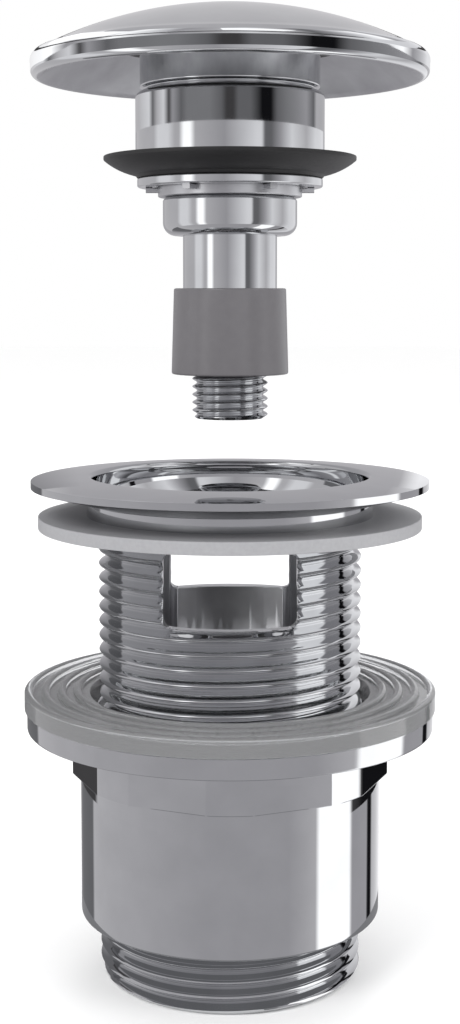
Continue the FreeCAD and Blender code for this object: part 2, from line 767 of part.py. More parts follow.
def make_cap_stud():
    outline = [
        ("0", f"({STEM_TOP} - size.cap_stud_grip)"),
        ("size.cap_stud_radius", f"({STEM_TOP} - size.cap_stud_grip)"),
        ("size.cap_stud_radius", CAP_INSIDE),
        ("0", CAP_INSIDE),
    ]
    return turned_piece("cap_stud", outline, PLUG_PLACE)


def make_plug_cap():
    """Domed cap, dished underneath, with a thick rolled edge."""
    edge_top = f"({CAP_RIM} + size.cap_edge_height)"
    edge_low = f"({CAP_RIM} + size.cap_edge_height / 4)"
    edge_high = f"({CAP_RIM} + size.cap_edge_height / 2)"
    edge_inside = "(size.cap_radius - size.cap_edge_width)"
    crown_rise = "(size.cap_height - size.cap_edge_height)"
    crown_curve = f"({edge_inside} ^ 2 + {crown_rise} ^ 2) / (2 * {crown_rise})"
    return turned_piece("plug_cap", [
        ("0", CAP_INSIDE),
        ("size.cap_gasket_radius", CAP_INSIDE, "left", "size.cap_dish_curve"),
        (edge_inside, f"{CAP_RIM} + size.cap_edge_lip"),
        ("(size.cap_radius - size.cap_edge_height / 4)", CAP_RIM, "right", "size.cap_edge_height / 4"),
        ("size.cap_radius", edge_low),
        ("size.cap_radius", edge_high, "right", "size.cap_edge_height / 2"),
        (edge_inside, edge_top, "right", crown_curve),
        ("0", CAP_TOP),
    ], PLUG_PLACE)


PIECES = [
    make_tail_body(),
    make_deck_gasket(),
    make_flange_washer(),
    make_flange_sleeve(),
    make_threaded_core(),
    make_guide_collar(),
    make_cam_drum(),
    make_core_clip(),
    make_spring_washer(),
    make_click_spring(),
    make_stem_tube(),
    make_cam_pins(),
    make_guide_sleeve(),
    make_snap_ring(),
    make_seal_ring(),
    make_lip_seal(),
    make_head_cup(),
    make_cap_neck(),
    make_cap_gasket(),
    make_cap_stud(),
    make_plug_cap(),
]

doc.recompute()
for item in doc.Objects:
    if {"Invalid", "Error"} & set(item.State):
        raise ValueError(f"{item.Label} did not rebuild")

os.makedirs("parts", exist_ok=True)
for piece in PIECES:
    shape = piece.Shape
    if shape.isNull() or not shape.isValid():
        raise ValueError(f"{piece.Label} has no valid shape")
    shape.exportStep(f"parts/{piece.Label}.step")
    box = shape.BoundBox
    heights = f"z {box.ZMin:.2f} to {box.ZMax:.2f}"
    print(f"{piece.Label:16s} {len(shape.Solids)} solid(s) {shape.Volume:9.1f} mm3  {heights}")
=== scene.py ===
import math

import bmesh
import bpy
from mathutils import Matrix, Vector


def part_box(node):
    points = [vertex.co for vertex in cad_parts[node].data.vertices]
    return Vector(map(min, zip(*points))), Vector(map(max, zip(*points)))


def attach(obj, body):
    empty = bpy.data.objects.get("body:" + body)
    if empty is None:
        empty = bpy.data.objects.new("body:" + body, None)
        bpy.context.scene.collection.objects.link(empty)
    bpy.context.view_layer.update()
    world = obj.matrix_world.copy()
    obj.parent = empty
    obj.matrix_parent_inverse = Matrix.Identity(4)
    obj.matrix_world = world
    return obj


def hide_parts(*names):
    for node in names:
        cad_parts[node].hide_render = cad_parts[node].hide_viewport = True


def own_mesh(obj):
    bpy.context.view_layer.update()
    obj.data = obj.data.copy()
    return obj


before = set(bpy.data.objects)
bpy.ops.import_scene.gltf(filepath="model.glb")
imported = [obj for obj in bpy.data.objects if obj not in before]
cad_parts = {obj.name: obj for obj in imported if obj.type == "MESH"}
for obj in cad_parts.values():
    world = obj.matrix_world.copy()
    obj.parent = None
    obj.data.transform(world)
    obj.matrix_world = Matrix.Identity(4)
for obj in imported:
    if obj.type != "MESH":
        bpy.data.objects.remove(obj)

# %% [markdown]
# A pop up basin waste, drawn out of its box: the slotted body below, the click plug lifted above it.
# Almost every piece is turned on a lathe, so one habit carries the whole lesson: draw half an outline,
# spin it about the axis, then break its sharp edges so that the chrome has something to catch.
# Sizes come from the solid model where it has them. The rest are named here, in millimetres.

MM = 0.001
UP = Vector((0, 0, 1))
FULL_TURN = 2 * math.pi
FULL_TURN_DEGREES = 360
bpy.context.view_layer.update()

# %% [markdown]
# The camera stands close, a little over the body and under the plug, so that it looks down into the
# flange and up under the cap. A low tilt and a small shift keep the upright edges nearly upright. The
# lens is worked out from the height that the frame has to take in at the axis.

# %% Camera
FRAME_HEIGHT_PX = 1024
PX_PER_MM = 6.26
CAMERA_DISTANCE = 260 * MM
CAMERA_HEIGHT = 109 * MM
CAMERA_TILT = math.radians(5)
FRAME_CENTRE_HEIGHT = 74 * MM
SENSOR_MM = 36

frame_height = FRAME_HEIGHT_PX / PX_PER_MM * MM
drop = CAMERA_HEIGHT - FRAME_CENTRE_HEIGHT
depth = CAMERA_DISTANCE * math.cos(CAMERA_TILT) + drop * math.sin(CAMERA_TILT)
below = drop * math.cos(CAMERA_TILT) - CAMERA_DISTANCE * math.sin(CAMERA_TILT)

camera_data = bpy.data.cameras.new("product_camera")
camera_data.sensor_fit = "VERTICAL"
camera_data.sensor_height = SENSOR_MM
camera_data.lens = SENSOR_MM * depth / frame_height
camera_data.shift_y = -below / frame_height
camera = bpy.data.objects.new("product_camera", camera_data)
camera.location = (0, -CAMERA_DISTANCE, CAMERA_HEIGHT)
camera.rotation_euler = (math.radians(90) - CAMERA_TILT, 0, 0)
bpy.context.scene.collection.objects.link(camera)
bpy.context.scene.camera = camera
bpy.context.scene.view_settings.view_transform = "Standard"
print("frame height in mm", round(frame_height / MM, 1), "lens in mm", round(camera_data.lens, 1))

# %% [markdown]
# A finish is a small tree of nodes. One helper adds a node with its settings and its links, and one
# turns a hex colour, as it is picked on a screen, into the linear numbers that light is added up in.

# %% Helpers for nodes and colours
def linear(hex_colour):
    """sRGB hex to linear RGBA."""
    channels = [int(hex_colour[i:i + 2], 16) / 255 for i in (1, 3, 5)]
    return [c / 12.92 if c <= 0.04045 else ((c + 0.055) / 1.055) ** 2.4 for c in channels] + [1.0]


def add_node(tree, kind, settings=None, inputs=None, links=None):
    """Add a node, set its properties and sockets, and link other nodes' outputs into it."""
    node = tree.nodes.new(kind)
    for name, setting in (settings or {}).items():
        setattr(node, name, setting)
    for name, number in (inputs or {}).items():
        node.inputs[name].default_value = number
    for name, (source, output) in (links or {}).items():
        tree.links.new(source.outputs[output], node.inputs[name])
    return node


def empty_tree(owner):
    """Switch a material or world to nodes and clear them."""
    owner.use_nodes = True
    owner.node_tree.nodes.clear()
    return owner.node_tree


print("a middle grey of #808080 is", round(linear("#808080")[0], 3), "in linear light")

# %% [markdown]
# No real surface has one roughness or one colour all over. Each finish has a grain: noise of a real
# size in millimetres that moves the roughness between two values, tilts the surface by a few
# thousandths of a millimetre, and mixes two near tints. Fixed numbers stay on the shader's sockets.

# %% Helper for finishes
BUMP_STRENGTH = 0.6
GRAIN_DETAIL = 3.0
TINT_ENDS = (0.3, 0.7)


def make_finish(name, inputs, roughness, grain_mm, height_mm=0.0, tints=None):
    """A Principled material whose grain varies its roughness, its surface and its tint a little."""
    material = bpy.data.materials.new(name)
    tree = empty_tree(material)
    shader = add_node(tree, "ShaderNodeBsdfPrincipled", inputs=inputs)
    add_node(tree, "ShaderNodeOutputMaterial", links={"Surface": (shader, "BSDF")})
    place = add_node(tree, "ShaderNodeTexCoord")
    grain = add_node(tree, "ShaderNodeTexNoise",
                     inputs={"Scale": 1 / (grain_mm * MM), "Detail": GRAIN_DETAIL},
                     links={"Vector": (place, "Object")})
    rough = add_node(tree, "ShaderNodeMapRange",
                     inputs={"To Min": roughness[0], "To Max": roughness[1]},
                     links={"Value": (grain, "Fac")})
    tree.links.new(rough.outputs["Result"], shader.inputs["Roughness"])
    if height_mm:
        bump = add_node(tree, "ShaderNodeBump",
                        inputs={"Strength": BUMP_STRENGTH, "Distance": height_mm * MM},
                        links={"Height": (grain, "Fac")})
        tree.links.new(bump.outputs["Normal"], shader.inputs["Normal"])
    if tints:
        ramp = add_node(tree, "ShaderNodeValToRGB", links={"Fac": (grain, "Fac")})
        for stop, position, tone in zip(ramp.color_ramp.elements, TINT_ENDS, tints):
            stop.position = position
            stop.color = linear(tone)
        tree.links.new(ramp.outputs["Color"], shader.inputs["Base Color"])
    return material


# %% [markdown]
# The metal pieces are brass castings and turnings with a bright nickel and chromium plate. Chromium
# sends back a little over half of the light, evenly in all colours, and polished plate is almost a
# mirror: what the eye reads as chrome is the room in it. So its grain is long and faint. Inside the
# casting and under the cap the plate is thin and the metal under it unpolished, which reads as satin.

# %% Plated finishes
PLATE_LIGHT = "#c8c9cb"
RIPPLE_MM = 6.0


def make_plate(name, tone, roughness):
    """Nickel and chromium over brass, with the long ripple that polishing leaves."""
    inputs = {"Base Color": linear(tone), "Metallic": 1.0}
    return make_finish(name, inputs, roughness, RIPPLE_MM, tints=(tone, PLATE_LIGHT))


# A near mirror: it gives the eye the room, and a ripple of 6 mm that only bends it a little.
bright_chrome = make_plate("bright_chrome_plate", "#c2c3c5", (0.02, 0.05))
# Thin plate on rough metal: it gives a soft grey glow without a picture in it.
satin_chrome = make_plate("thinly_plated_inside", "#b4b4b7", (0.26, 0.36))
print("plated finishes:", bright_chrome.name, satin_chrome.name)

# %% [markdown]
# The soft and plastic pieces are pressed or moulded, and none of them is polished. Their grains are
# between a quarter of a millimetre and one and a half, as the mould or the sheet gave them.

# %% Rubber and plastic finishes
# Nearly black, with a dry bloom in spots of half a millimetre that spreads the highlight.
black_rubber = make_finish("moulded_nitrile_rubber", {"IOR": 1.52}, (0.46, 0.6), 0.5, 0.008,
                           ("#0c0b0d", "#121113"))
# Punched from grey sheet with a grain of 0.6 mm: a flat chalky grey.
washer_grey = make_finish("pressed_grey_washer", {"IOR": 1.5}, (0.5, 0.6), 0.6, 0.004,
                          ("#97979a", "#9d9da0"))
# A smooth hard plastic: a broad soft highlight over waves of 1.5 mm.
acetal_grey = make_finish("moulded_grey_acetal", {"IOR": 1.48}, (0.28, 0.34), 1.5, 0.0,
                          ("#605e61", "#636164"))
# The drum has the fine eroded grain of its mould, 0.25 mm, and reads as milky.
acetal_white = make_finish("moulded_white_acetal", {"IOR": 1.48}, (0.35, 0.45), 0.25, 0.006,
                           ("#d8d7d2", "#e4e3df"))
print("moulded finishes:", black_rubber.name, washer_grey.name, acetal_grey.name, acetal_white.name)

# %% [markdown]
# The gasket is clear soft PVC. It lets most of the light through and scatters the rest, so it takes
# the grey of the metal behind it. Its slow waves are 2.5 mm long, as a soft moulding's are.

# %% Clear gasket's finish
clear_pvc = make_finish("clear_soft_pvc",
                        {"Base Color": linear("#f2f3f5"), "IOR": 1.5, "Transmission Weight": 0.8},
                        (0.03, 0.1), 2.5, 0.08)
print("clear finish:", clear_pvc.name)

# %% [markdown]
# Inside the stem the small parts are bare metal: turned brass with fine tool marks, warm and a little
# rough, and drawn spring steel, a darker grey. Their grain is drawn coarser than it is, to show at all.

# %% Bare metal finishes
turned_brass = make_finish("turned_brass", {"Base Color": linear("#d8b66a"), "Metallic": 1.0},
                           (0.2, 0.35), 0.5, 0.004)
spring_steel = make_finish("drawn_spring_steel", {"Base Color": linear("#a3a3a6"), "Metallic": 1.0},
                           (0.25, 0.4), 0.4, 0.003)
print("bare metals:", turned_brass.name, spring_steel.name)

# %% [markdown]
# Turning. An outline is a list of (radius, height) corners. The spin operator sweeps it round the axis
# and the doubles where the turn closes are merged. Normals are then recalculated, because a spin can
# leave a shape inside out.

# %% Helpers for turning
ROUND_STEPS = 160
SAME_POINT = 0.0005 * MM
SMOOTH_BELOW = 40


def sweep_outline(bm, corners, closed=True):
    """Spin an outline of (radius, height) corners a full turn about the axis."""
    verts = [bm.verts.new((radius, 0, height)) for radius, height in corners]
    edges = [bm.edges.new(pair) for pair in zip(verts, verts[1:])]
    if closed:
        edges.append(bm.edges.new((verts[-1], verts[0])))
    bmesh.ops.spin(bm, geom=verts + edges, cent=(0, 0, 0), axis=UP, dvec=(0, 0, 0),
                   angle=FULL_TURN, steps=ROUND_STEPS, use_merge=True)
    bmesh.ops.remove_doubles(bm, verts=bm.verts, dist=SAME_POINT)
    bmesh.ops.recalc_face_normals(bm, faces=bm.faces)


def finish_mesh(bm, name, smooth_below=SMOOTH_BELOW):
    """Weld, point every face outwards, shade it smooth and make it an object at the origin."""
    bmesh.ops.remove_doubles(bm, verts=bm.verts, dist=SAME_POINT)
    bmesh.ops.recalc_face_normals(bm, faces=bm.faces)
    for face in bm.faces:
        face.smooth = True
    mesh = bpy.data.meshes.new(name)
    bm.to_mesh(mesh)
    bm.free()
    mesh.set_sharp_from_angle(angle=math.radians(smooth_below))
    piece = bpy.data.objects.new(name, mesh)
    bpy.context.scene.collection.objects.link(piece)
    return piece


print("a turned piece has", ROUND_STEPS, "steps of", FULL_TURN_DEGREES / ROUND_STEPS, "degrees")

# %% [markdown]
# A turned edge is never quite sharp: the tool or the polishing wheel breaks it, and that narrow band is
# where a plated edge lights up. A bevel of a few tenths of a millimetre does it. Round stretches of an
# outline are arcs, given by their ends and by how far they bulge from the straight line.

# %% Helpers for edges and arcs
BREAK_OVER = math.radians(24)


def break_edges(bm, width, segments=3, over=BREAK_OVER, chosen=None):
    """Bevel every edge that is sharper than the limit, or the chosen ones of them."""
    sharp = [e for e in bm.edges if len(e.link_faces) == 2 and e.calc_face_angle(0) > over]
    if chosen:
        sharp = [e for e in sharp if chosen(e)]
    bmesh.ops.bevel(bm, geom=sharp, offset=width, offset_type="OFFSET", affect="EDGES",
                    segments=segments, profile=0.5, material=-1, clamp_overlap=True)


def arc(start, end, bulge, steps=10):
    """Points of a circular arc from start to end; a positive bulge is to the left of the way."""
    a = Vector(start)
    b = Vector(end)
    chord = b - a
    half = chord.length / 2
    radius = (half * half + bulge * bulge) / (2 * abs(bulge))
    side = 1 if bulge > 0 else -1
    left = Vector((-chord.y, chord.x)).normalized() * side
    centre = (a + b) / 2 - left * (radius - abs(bulge))
    first = math.atan2(a.y - centre.y, a.x - centre.x)
    sweep = -side * 2 * math.asin(min(1.0, half / radius))
    turns = [first + sweep * i / steps for i in range(steps + 1)]
    return [(centre.x + radius * math.cos(t), centre.y + radius * math.sin(t)) for t in turns]


def turned(name, corners, edge_break):
    """A piece that comes straight off the lathe."""
    bm = bmesh.new()
    sweep_outline(bm, corners)
    if edge_break:
        break_edges(bm, edge_break)
    return finish_mesh(bm, name)


def ring_outline(bore, outer, low, high):
    """The four corners of a plain ring."""
    return [(bore, low), (outer, low), (outer, high), (bore, high)]


def span(node):
    """Outer radius, lowest and highest point of a round node of the solid model."""
    low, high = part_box(node)
    return (high[0] - low[0]) / 2, low[2], high[2]


# %% [markdown]
# A finished piece rides on its body, so that it moves with the joints, and stands in for its solid
# nodes. Weighted normals are baked in first: they keep the long flat faces of a turning flat to the
# eye, and leave all of the bending of light to the narrow broken edges.

# %% Helpers for finished pieces
def bake(piece, modifier):
    """Apply the piece's only modifier."""
    bpy.context.view_layer.update()
    evaluated = piece.evaluated_get(bpy.context.evaluated_depsgraph_get())
    mesh = bpy.data.meshes.new_from_object(evaluated)
    piece.modifiers.remove(modifier)
    old = piece.data
    piece.data = mesh
    bpy.data.meshes.remove(old)


def dress(piece, body, material, slot, *nodes):
    """Give a finished piece its body and finish, and let it stand for solid nodes. The slot is not used.
    """
    normals = piece.modifiers.new("normals", "WEIGHTED_NORMAL")
    normals.keep_sharp = True
    bake(piece, normals)
    piece.data.materials.clear()
    piece.data.materials.append(material)
    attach(piece, body)
    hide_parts(*nodes)
    print(piece.name, len(piece.data.polygons), "faces")


def dress_plated(piece, body, node, finish=bright_chrome):
    """Dress a plated brass piece."""
    dress(piece, body, finish, "chrome_brass", node)


def refinish(piece, material, chosen):
    """Give the chosen faces a second finish."""
    piece.data.materials.append(material)
    for face in piece.data.polygons:
        if chosen(face):
            face.material_index = 1


def from_axis(point):
    """How far a point is from the axis."""
    return math.hypot(point.x, point.y)


# %% [markdown]
# Some pieces are one casting on the real object but several shapes here. They are put in one object
# shell by shell, each a little way into the next. Where a shape is milled away, an exact boolean
# cuts it.

# %% Helpers for joining and cutting
BLOCK_CORNER_STEPS = 6
ALONG_AXIS = 0.9


def throw_away(piece):
    """Remove an object and its mesh."""
    mesh = piece.data
    bpy.data.objects.remove(piece)
    bpy.data.meshes.remove(mesh)


def join(name, pieces):
    """Put the shells of several pieces into one object."""
    bm = bmesh.new()
    for piece in pieces:
        bm.from_mesh(piece.data)
        throw_away(piece)
    mesh = bpy.data.meshes.new(name)
    bm.to_mesh(mesh)
    bm.free()
    whole = bpy.data.objects.new(name, mesh)
    bpy.context.scene.collection.objects.link(whole)
    return whole


def cut(piece, tool, operation="DIFFERENCE"):
    """Apply an exact boolean and remove the tool."""
    modifier = piece.modifiers.new("cut", "BOOLEAN")
    modifier.operation = operation
    modifier.solver = "EXACT"
    modifier.object = tool
    bake(piece, modifier)
    throw_away(tool)
    return piece


def block(name, low, high, corner=0.0, axis=1):
    """A block between two corners; the edges along one axis can be rounded."""
    bm = bmesh.new()
    bmesh.ops.create_cube(bm, size=1)
    bmesh.ops.scale(bm, vec=Vector(high) - Vector(low), verts=bm.verts)
    bmesh.ops.translate(bm, vec=(Vector(high) + Vector(low)) / 2, verts=bm.verts)
    if corner:
        ways = [(e, (e.verts[0].co - e.verts[1].co).normalized()) for e in bm.edges]
        along = [e for e, way in ways if abs(way[axis]) > ALONG_AXIS]
        bmesh.ops.bevel(bm, geom=along, offset=corner, offset_type="OFFSET", affect="EDGES",
                        segments=BLOCK_CORNER_STEPS, profile=0.5, material=-1)
    return finish_mesh(bm, name)


def ring_of(count, make):
    """Copies of a piece, evenly spaced round the axis; make gets the copy's number."""
    copies = []
    for index in range(count):
        copy = make(index)
        copy.data.transform(Matrix.Rotation(index * FULL_TURN / count, 4, "Z"))
        copies.append(copy)
    return copies


# %% [markdown]
# Threads. The body carries the G 1 1/4 pipe thread, 11 turns to the inch, and the plug's stud is
# M12 x 1.25. The outline of one turn is a wave with a rounded crest and root. Spinning it with a
# small climb at every step winds it into a true helix, one turn longer than needed at each end. Two
# planes cut the ends square, and each end is closed down to a bore.

# %% Helpers for threads
PIPE_PITCH = 2.309 * MM
PIPE_DEPTH = 1.48 * MM
STUD_PITCH = 1.25 * MM
STUD_DEPTH = 0.75 * MM
WAVE_POINTS = 10
THREAD_WELD = 0.002 * MM
CUT_TOLERANCE = 0.0001 * MM
RIM_TOLERANCE = 0.001 * MM


def thread_wave(share):
    """Height of the thread, 0 at the root and 1 at the crest, over one turn."""
    return 0.5 - 0.5 * math.cos(FULL_TURN * share)


def wind_thread(bm, crest, depth, pitch, low, high, steps):
    """Wind one turn's wave up the axis, past both ends."""
    turns = math.ceil((high - low) / pitch) + 2
    verts = []
    for i in range(WAVE_POINTS + 1):
        radius = crest - depth + depth * thread_wave(i / WAVE_POINTS)
        verts.append(bm.verts.new((radius, 0, low - pitch + pitch * i / WAVE_POINTS)))
    edges = [bm.edges.new(pair) for pair in zip(verts, verts[1:])]
    bmesh.ops.spin(bm, geom=verts + edges, cent=(0, 0, 0), axis=UP, dvec=(0, 0, pitch / steps),
                   angle=FULL_TURN * turns, steps=steps * turns, use_merge=False)
    bmesh.ops.remove_doubles(bm, verts=bm.verts, dist=THREAD_WELD)


def trim_thread(bm, low, high):
    """Cut both ends square."""
    for height, above in ((low, False), (high, True)):
        bmesh.ops.bisect_plane(bm, geom=bm.verts[:] + bm.edges[:] + bm.faces[:], dist=CUT_TOLERANCE,
                               plane_co=(0, 0, height), plane_no=UP, clear_outer=above,
                               clear_inner=not above)


def set_radius(vert, radius):
    """Move a point straight out or in to a radius."""
    share = radius / from_axis(vert.co)
    vert.co.x *= share
    vert.co.y *= share


def chamfer_foot(bm, crest, low, chamfer):
    """Turn the first thread down to a cone, so that a nut finds it."""
    for vert in bm.verts:
        allowed = crest - max(0.0, low + chamfer - vert.co.z)
        if from_axis(vert.co) > allowed:
            set_radius(vert, allowed)


def close_thread(bm, low, high, closing):
    """Carry both rims to the closing radius and join them with a plain wall."""
    rims = []
    for height in (low, high):
        rim = [e for e in bm.edges
               if e.is_boundary and all(abs(v.co.z - height) < RIM_TOLERANCE for v in e.verts)]
        grown = bmesh.ops.extrude_edge_only(bm, edges=rim)["geom"]
        for part in grown:
            if isinstance(part, bmesh.types.BMVert):
                set_radius(part, closing)
        rims += [part for part in grown if isinstance(part, bmesh.types.BMEdge) and part.is_boundary]
    bmesh.ops.bridge_loops(bm, edges=rims)


def threaded(name, crest, depth, pitch, low, high, closing, chamfer=0.0, steps=96):
    """A helical thread between two heights, closed by a plain wall at the closing radius."""
    bm = bmesh.new()
    wind_thread(bm, crest, depth, pitch, low, high, steps)
    trim_thread(bm, low, high)
    if chamfer:
        chamfer_foot(bm, crest, low, chamfer)
    close_thread(bm, low, high, closing)
    return finish_mesh(bm, name)


# %% [markdown]
# The flange casting, first its dish. The flange is thin and slightly crowned, its mouth rolls over
# into a deep mirror bowl, and a hub under it presses on the washer. One outline holds all of it.

# %% Flange dish
RIM_DROP = 0.7 * MM
RIM_THICKNESS = 1.1 * MM
CROWN_BULGE = 0.1 * MM
FLANGE_RISE = 6.3 * MM
HUB_RADIUS = 22.85 * MM
HUB_HEIGHT = 2.2 * MM
BOWL_MOUTH = 21.75 * MM
BOWL_DEPTH = 8.6 * MM
BOWL_BULGE = 1.52 * MM
LIP_ROUND = 0.85 * MM
LIP_BULGE = 0.22 * MM
LIP_DROP = 0.05 * MM
LIP_INSET = 0.13 * MM
SLEEVE_BORE = 18.0 * MM
THREAD_CREST = 20.955 * MM
SOCKET_DEPTH = 0.35 * MM
SOCKET_INSET = 0.2 * MM
DISH_EDGE = 0.35 * MM

rim_radius, sleeve_foot, _ = span("flange_sleeve")
washer_radius, seat, washer_top = span("flange_washer")
flange_top = washer_top + FLANGE_RISE
rim_top = flange_top - RIM_DROP


def make_dish():
    """From the hub's foot, out under the rim, over the crowned top and down the bowl."""
    under = [
        (SLEEVE_BORE, seat - SOCKET_DEPTH),
        (THREAD_CREST - SOCKET_INSET, seat - SOCKET_DEPTH),
        (THREAD_CREST - SOCKET_INSET, washer_top),
        (HUB_RADIUS, washer_top),
        (HUB_RADIUS, washer_top + HUB_HEIGHT),
        (rim_radius, rim_top - RIM_THICKNESS),
    ]
    lip_start = (BOWL_MOUTH + LIP_ROUND, flange_top - LIP_DROP)
    lip_end = (BOWL_MOUTH + LIP_INSET, flange_top - LIP_ROUND)
    crown = arc((rim_radius, rim_top), lip_start, -CROWN_BULGE)
    lip = arc(lip_start, lip_end, -LIP_BULGE, 8)
    bowl = arc((BOWL_MOUTH, flange_top), (SLEEVE_BORE, flange_top - BOWL_DEPTH), BOWL_BULGE, 24)
    bowl = [corner for corner in bowl if corner[1] < flange_top - LIP_ROUND]
    return turned("flange_dish", under + crown + lip[1:] + bowl, DISH_EDGE)


dish = make_dish()
print("flange, mm across:", round(2 * rim_radius / MM, 1))

# %% [markdown]
# The sleeve is threaded all the way up to the flange. Two overflow windows face each other, and one
# long block cuts both at once. Its rounded edges leave the corners of a milling cutter.

# %% Threaded sleeve and its windows
THREAD_CHAMFER = 0.8 * MM
WINDOW_WIDTH = 20.1 * MM
WINDOW_HEIGHT = 11.4 * MM
WINDOW_DROP = 1.7 * MM
WINDOW_CORNER = 1.2 * MM


def make_sleeve():
    """A threaded tube, cut through by the two windows."""
    tube = threaded("sleeve_thread", THREAD_CREST, PIPE_DEPTH, PIPE_PITCH, sleeve_foot, seat,
                    SLEEVE_BORE, THREAD_CHAMFER)
    half = WINDOW_WIDTH / 2
    top = seat - WINDOW_DROP
    low = (-half, -rim_radius, top - WINDOW_HEIGHT)
    high = (half, rim_radius, top)
    return cut(tube, block("window_tool", low, high, WINDOW_CORNER))


sleeve = make_sleeve()
print("sleeve,", len(sleeve.data.polygons), "faces after the windows are cut")

# %% [markdown]
# Four spokes carry the boss that the plug screws into. The boss's thread is cut outwards from its
# plain hole, so the plug's stud passes it. A hair of clearance is left where the collar comes to rest.

# %% Boss and spokes
BOSS_RADIUS = 9.5 * MM
BOSS_HEIGHT = 8.0 * MM
BOSS_DROP = 23.9 * MM
BOSS_THREAD_DEPTH = 0.45 * MM
SEAT_CLEARANCE = 0.03 * MM
STUD_HOLE = 6.05 * MM
SPOKE_COUNT = 4
SPOKE_WIDTH = 4.5 * MM
SPOKE_OVERLAP = 1.0 * MM
SPOKE_END_INSET = 0.5 * MM
BORE_MARGIN = 0.1 * MM


def make_boss():
    """Boss with its female thread, and spokes that end inside the sleeve's wall."""
    foot = seat - BOSS_DROP - BOSS_HEIGHT
    top = seat - BOSS_DROP - SEAT_CLEARANCE
    wall = threaded("boss_wall", STUD_HOLE + BOSS_THREAD_DEPTH, BOSS_THREAD_DEPTH, STUD_PITCH, foot, top,
                    BOSS_RADIUS)
    reach = (SLEEVE_BORE + THREAD_CREST) / 2 - SPOKE_END_INSET
    low = (BOSS_RADIUS - SPOKE_OVERLAP, -SPOKE_WIDTH / 2, foot)
    high = (reach, SPOKE_WIDTH / 2, top)
    spokes = ring_of(SPOKE_COUNT, lambda index: block(f"spoke_{index}", low, high))
    return join("boss_and_spokes", [wall] + spokes)


def inside_casting(face):
    """True in the bore and on the boss, under the bowl."""
    return face.center.z < seat and from_axis(face.center) < SLEEVE_BORE + BORE_MARGIN


casting = join("flange_casting", [dish, sleeve, make_boss()])
dress_plated(casting, "flange", "flange_sleeve")
refinish(casting, satin_chrome, inside_casting)

# %% [markdown]
# The flat washer under the flange is punched from sheet, so only its corners are slightly round.

# %% Flat washer
THREAD_CLEARANCE = 0.3 * MM
WASHER_EDGE = 0.15 * MM

washer_bore = THREAD_CREST + THREAD_CLEARANCE
washer = turned("flat_washer", ring_outline(washer_bore, washer_radius, seat, washer_top), WASHER_EDGE)
dress(washer, "flange", washer_grey, "grey_washer", "flange_washer")

# %% [markdown]
# The clear gasket is moulded with concentric rings that seal on the basin's underside. A row of small
# rounded ridges over a thin skin shows the same streaks as the real one, because each bends light.

# %% Clear gasket
RING_PITCH = 2.6 * MM
RING_WIDTH = 1.3 * MM
RING_ROUND = 0.3 * MM
GASKET_SKIN = 2.2 * MM
GASKET_EDGE = 0.12 * MM

gasket_radius, gasket_foot, gasket_top = span("deck_gasket")


def gasket_outline():
    """Foot, outer wall and one rounded ridge after another, down to the bore."""
    bore = THREAD_CREST + THREAD_CLEARANCE
    shoulder = gasket_top - RING_ROUND
    groove = gasket_foot + GASKET_SKIN
    corners = [(bore, gasket_foot), (gasket_radius, gasket_foot)]
    outer = gasket_radius
    while outer - RING_WIDTH > bore:
        inner = outer - RING_WIDTH
        corners += arc((outer, shoulder), (inner, shoulder), -RING_ROUND, 6)
        outer -= RING_PITCH
        corners += [(inner, groove), (max(outer, bore), groove)]
    return corners


gasket = turned("clear_gasket_rings", gasket_outline(), GASKET_EDGE)
dress(gasket, "gasket", clear_pvc, "clear_gasket", "deck_gasket")

# %% [markdown]
# The tail body is one turning with an octagonal band for the spanner. A ring is cut by an eight-sided
# prism, so the band's corners keep the arc of the bar that it was made from.

# %% Spanner band
OUTLET_LENGTH = 9.8 * MM
BARREL_RADIUS = 24.05 * MM
BARREL_TOP = OUTLET_LENGTH + 22.5 * MM
BAND_TOP = BARREL_TOP + 7.5 * MM
BAND_SIDES = 8
BAND_FLATS = 24.55 * MM
BAND_CORNERS = 25.35 * MM
BAND_EDGE = 0.15 * MM
BAND_BREAK_OVER = math.radians(8)
BAND_EDGE_STEPS = 2
BAND_SMOOTH_BELOW = 7
BODY_BORE = 21.0 * MM
BAND_OVERLAP = 0.5 * MM
PRISM_HEIGHT = 20 * MM


def octagon_tool():
    """The prism that the band's ring is cut with."""
    bm = bmesh.new()
    corner = BAND_FLATS / math.cos(math.pi / BAND_SIDES)
    bmesh.ops.create_cone(bm, cap_ends=True, segments=BAND_SIDES, radius1=corner, radius2=corner,
                          depth=PRISM_HEIGHT)
    bmesh.ops.translate(bm, vec=(0, 0, (BARREL_TOP + BAND_TOP) / 2), verts=bm.verts)
    return finish_mesh(bm, "octagon_tool")


def outside_barrel(edge):
    """True for the edges of the octagon, where it stands proud of the barrel."""
    return all(from_axis(vert.co) > BARREL_RADIUS for vert in edge.verts)


def make_band():
    """A ring whose outside is an octagon with its corners turned off."""
    outline = ring_outline(BODY_BORE + BAND_OVERLAP, BAND_CORNERS, BARREL_TOP, BAND_TOP)
    ring = turned("band_ring", outline, 0.0)
    cut(ring, octagon_tool(), "INTERSECT")
    bm = bmesh.new()
    bm.from_mesh(ring.data)
    throw_away(ring)
    bmesh.ops.remove_doubles(bm, verts=bm.verts, dist=THREAD_WELD)
    break_edges(bm, BAND_EDGE, BAND_EDGE_STEPS, BAND_BREAK_OVER, outside_barrel)
    return finish_mesh(bm, "octagon_band", BAND_SMOOTH_BELOW)


band = make_band()
print("spanner band, mm across flats:", round(2 * BAND_FLATS / MM, 1))

# %% [markdown]
# The barrel and the clamping flange are one outline from the outlet's bore, up the outside, over the
# flange and down the inside to the ledge. The outlet carries the same pipe thread as the sleeve.

# %% Tail body
OUTLET_BORE = 17.5 * MM
LEDGE = 11.8 * MM
BARREL_EDGE = 0.3 * MM

tail_radius, tail_foot, tail_top = span("tail_body")


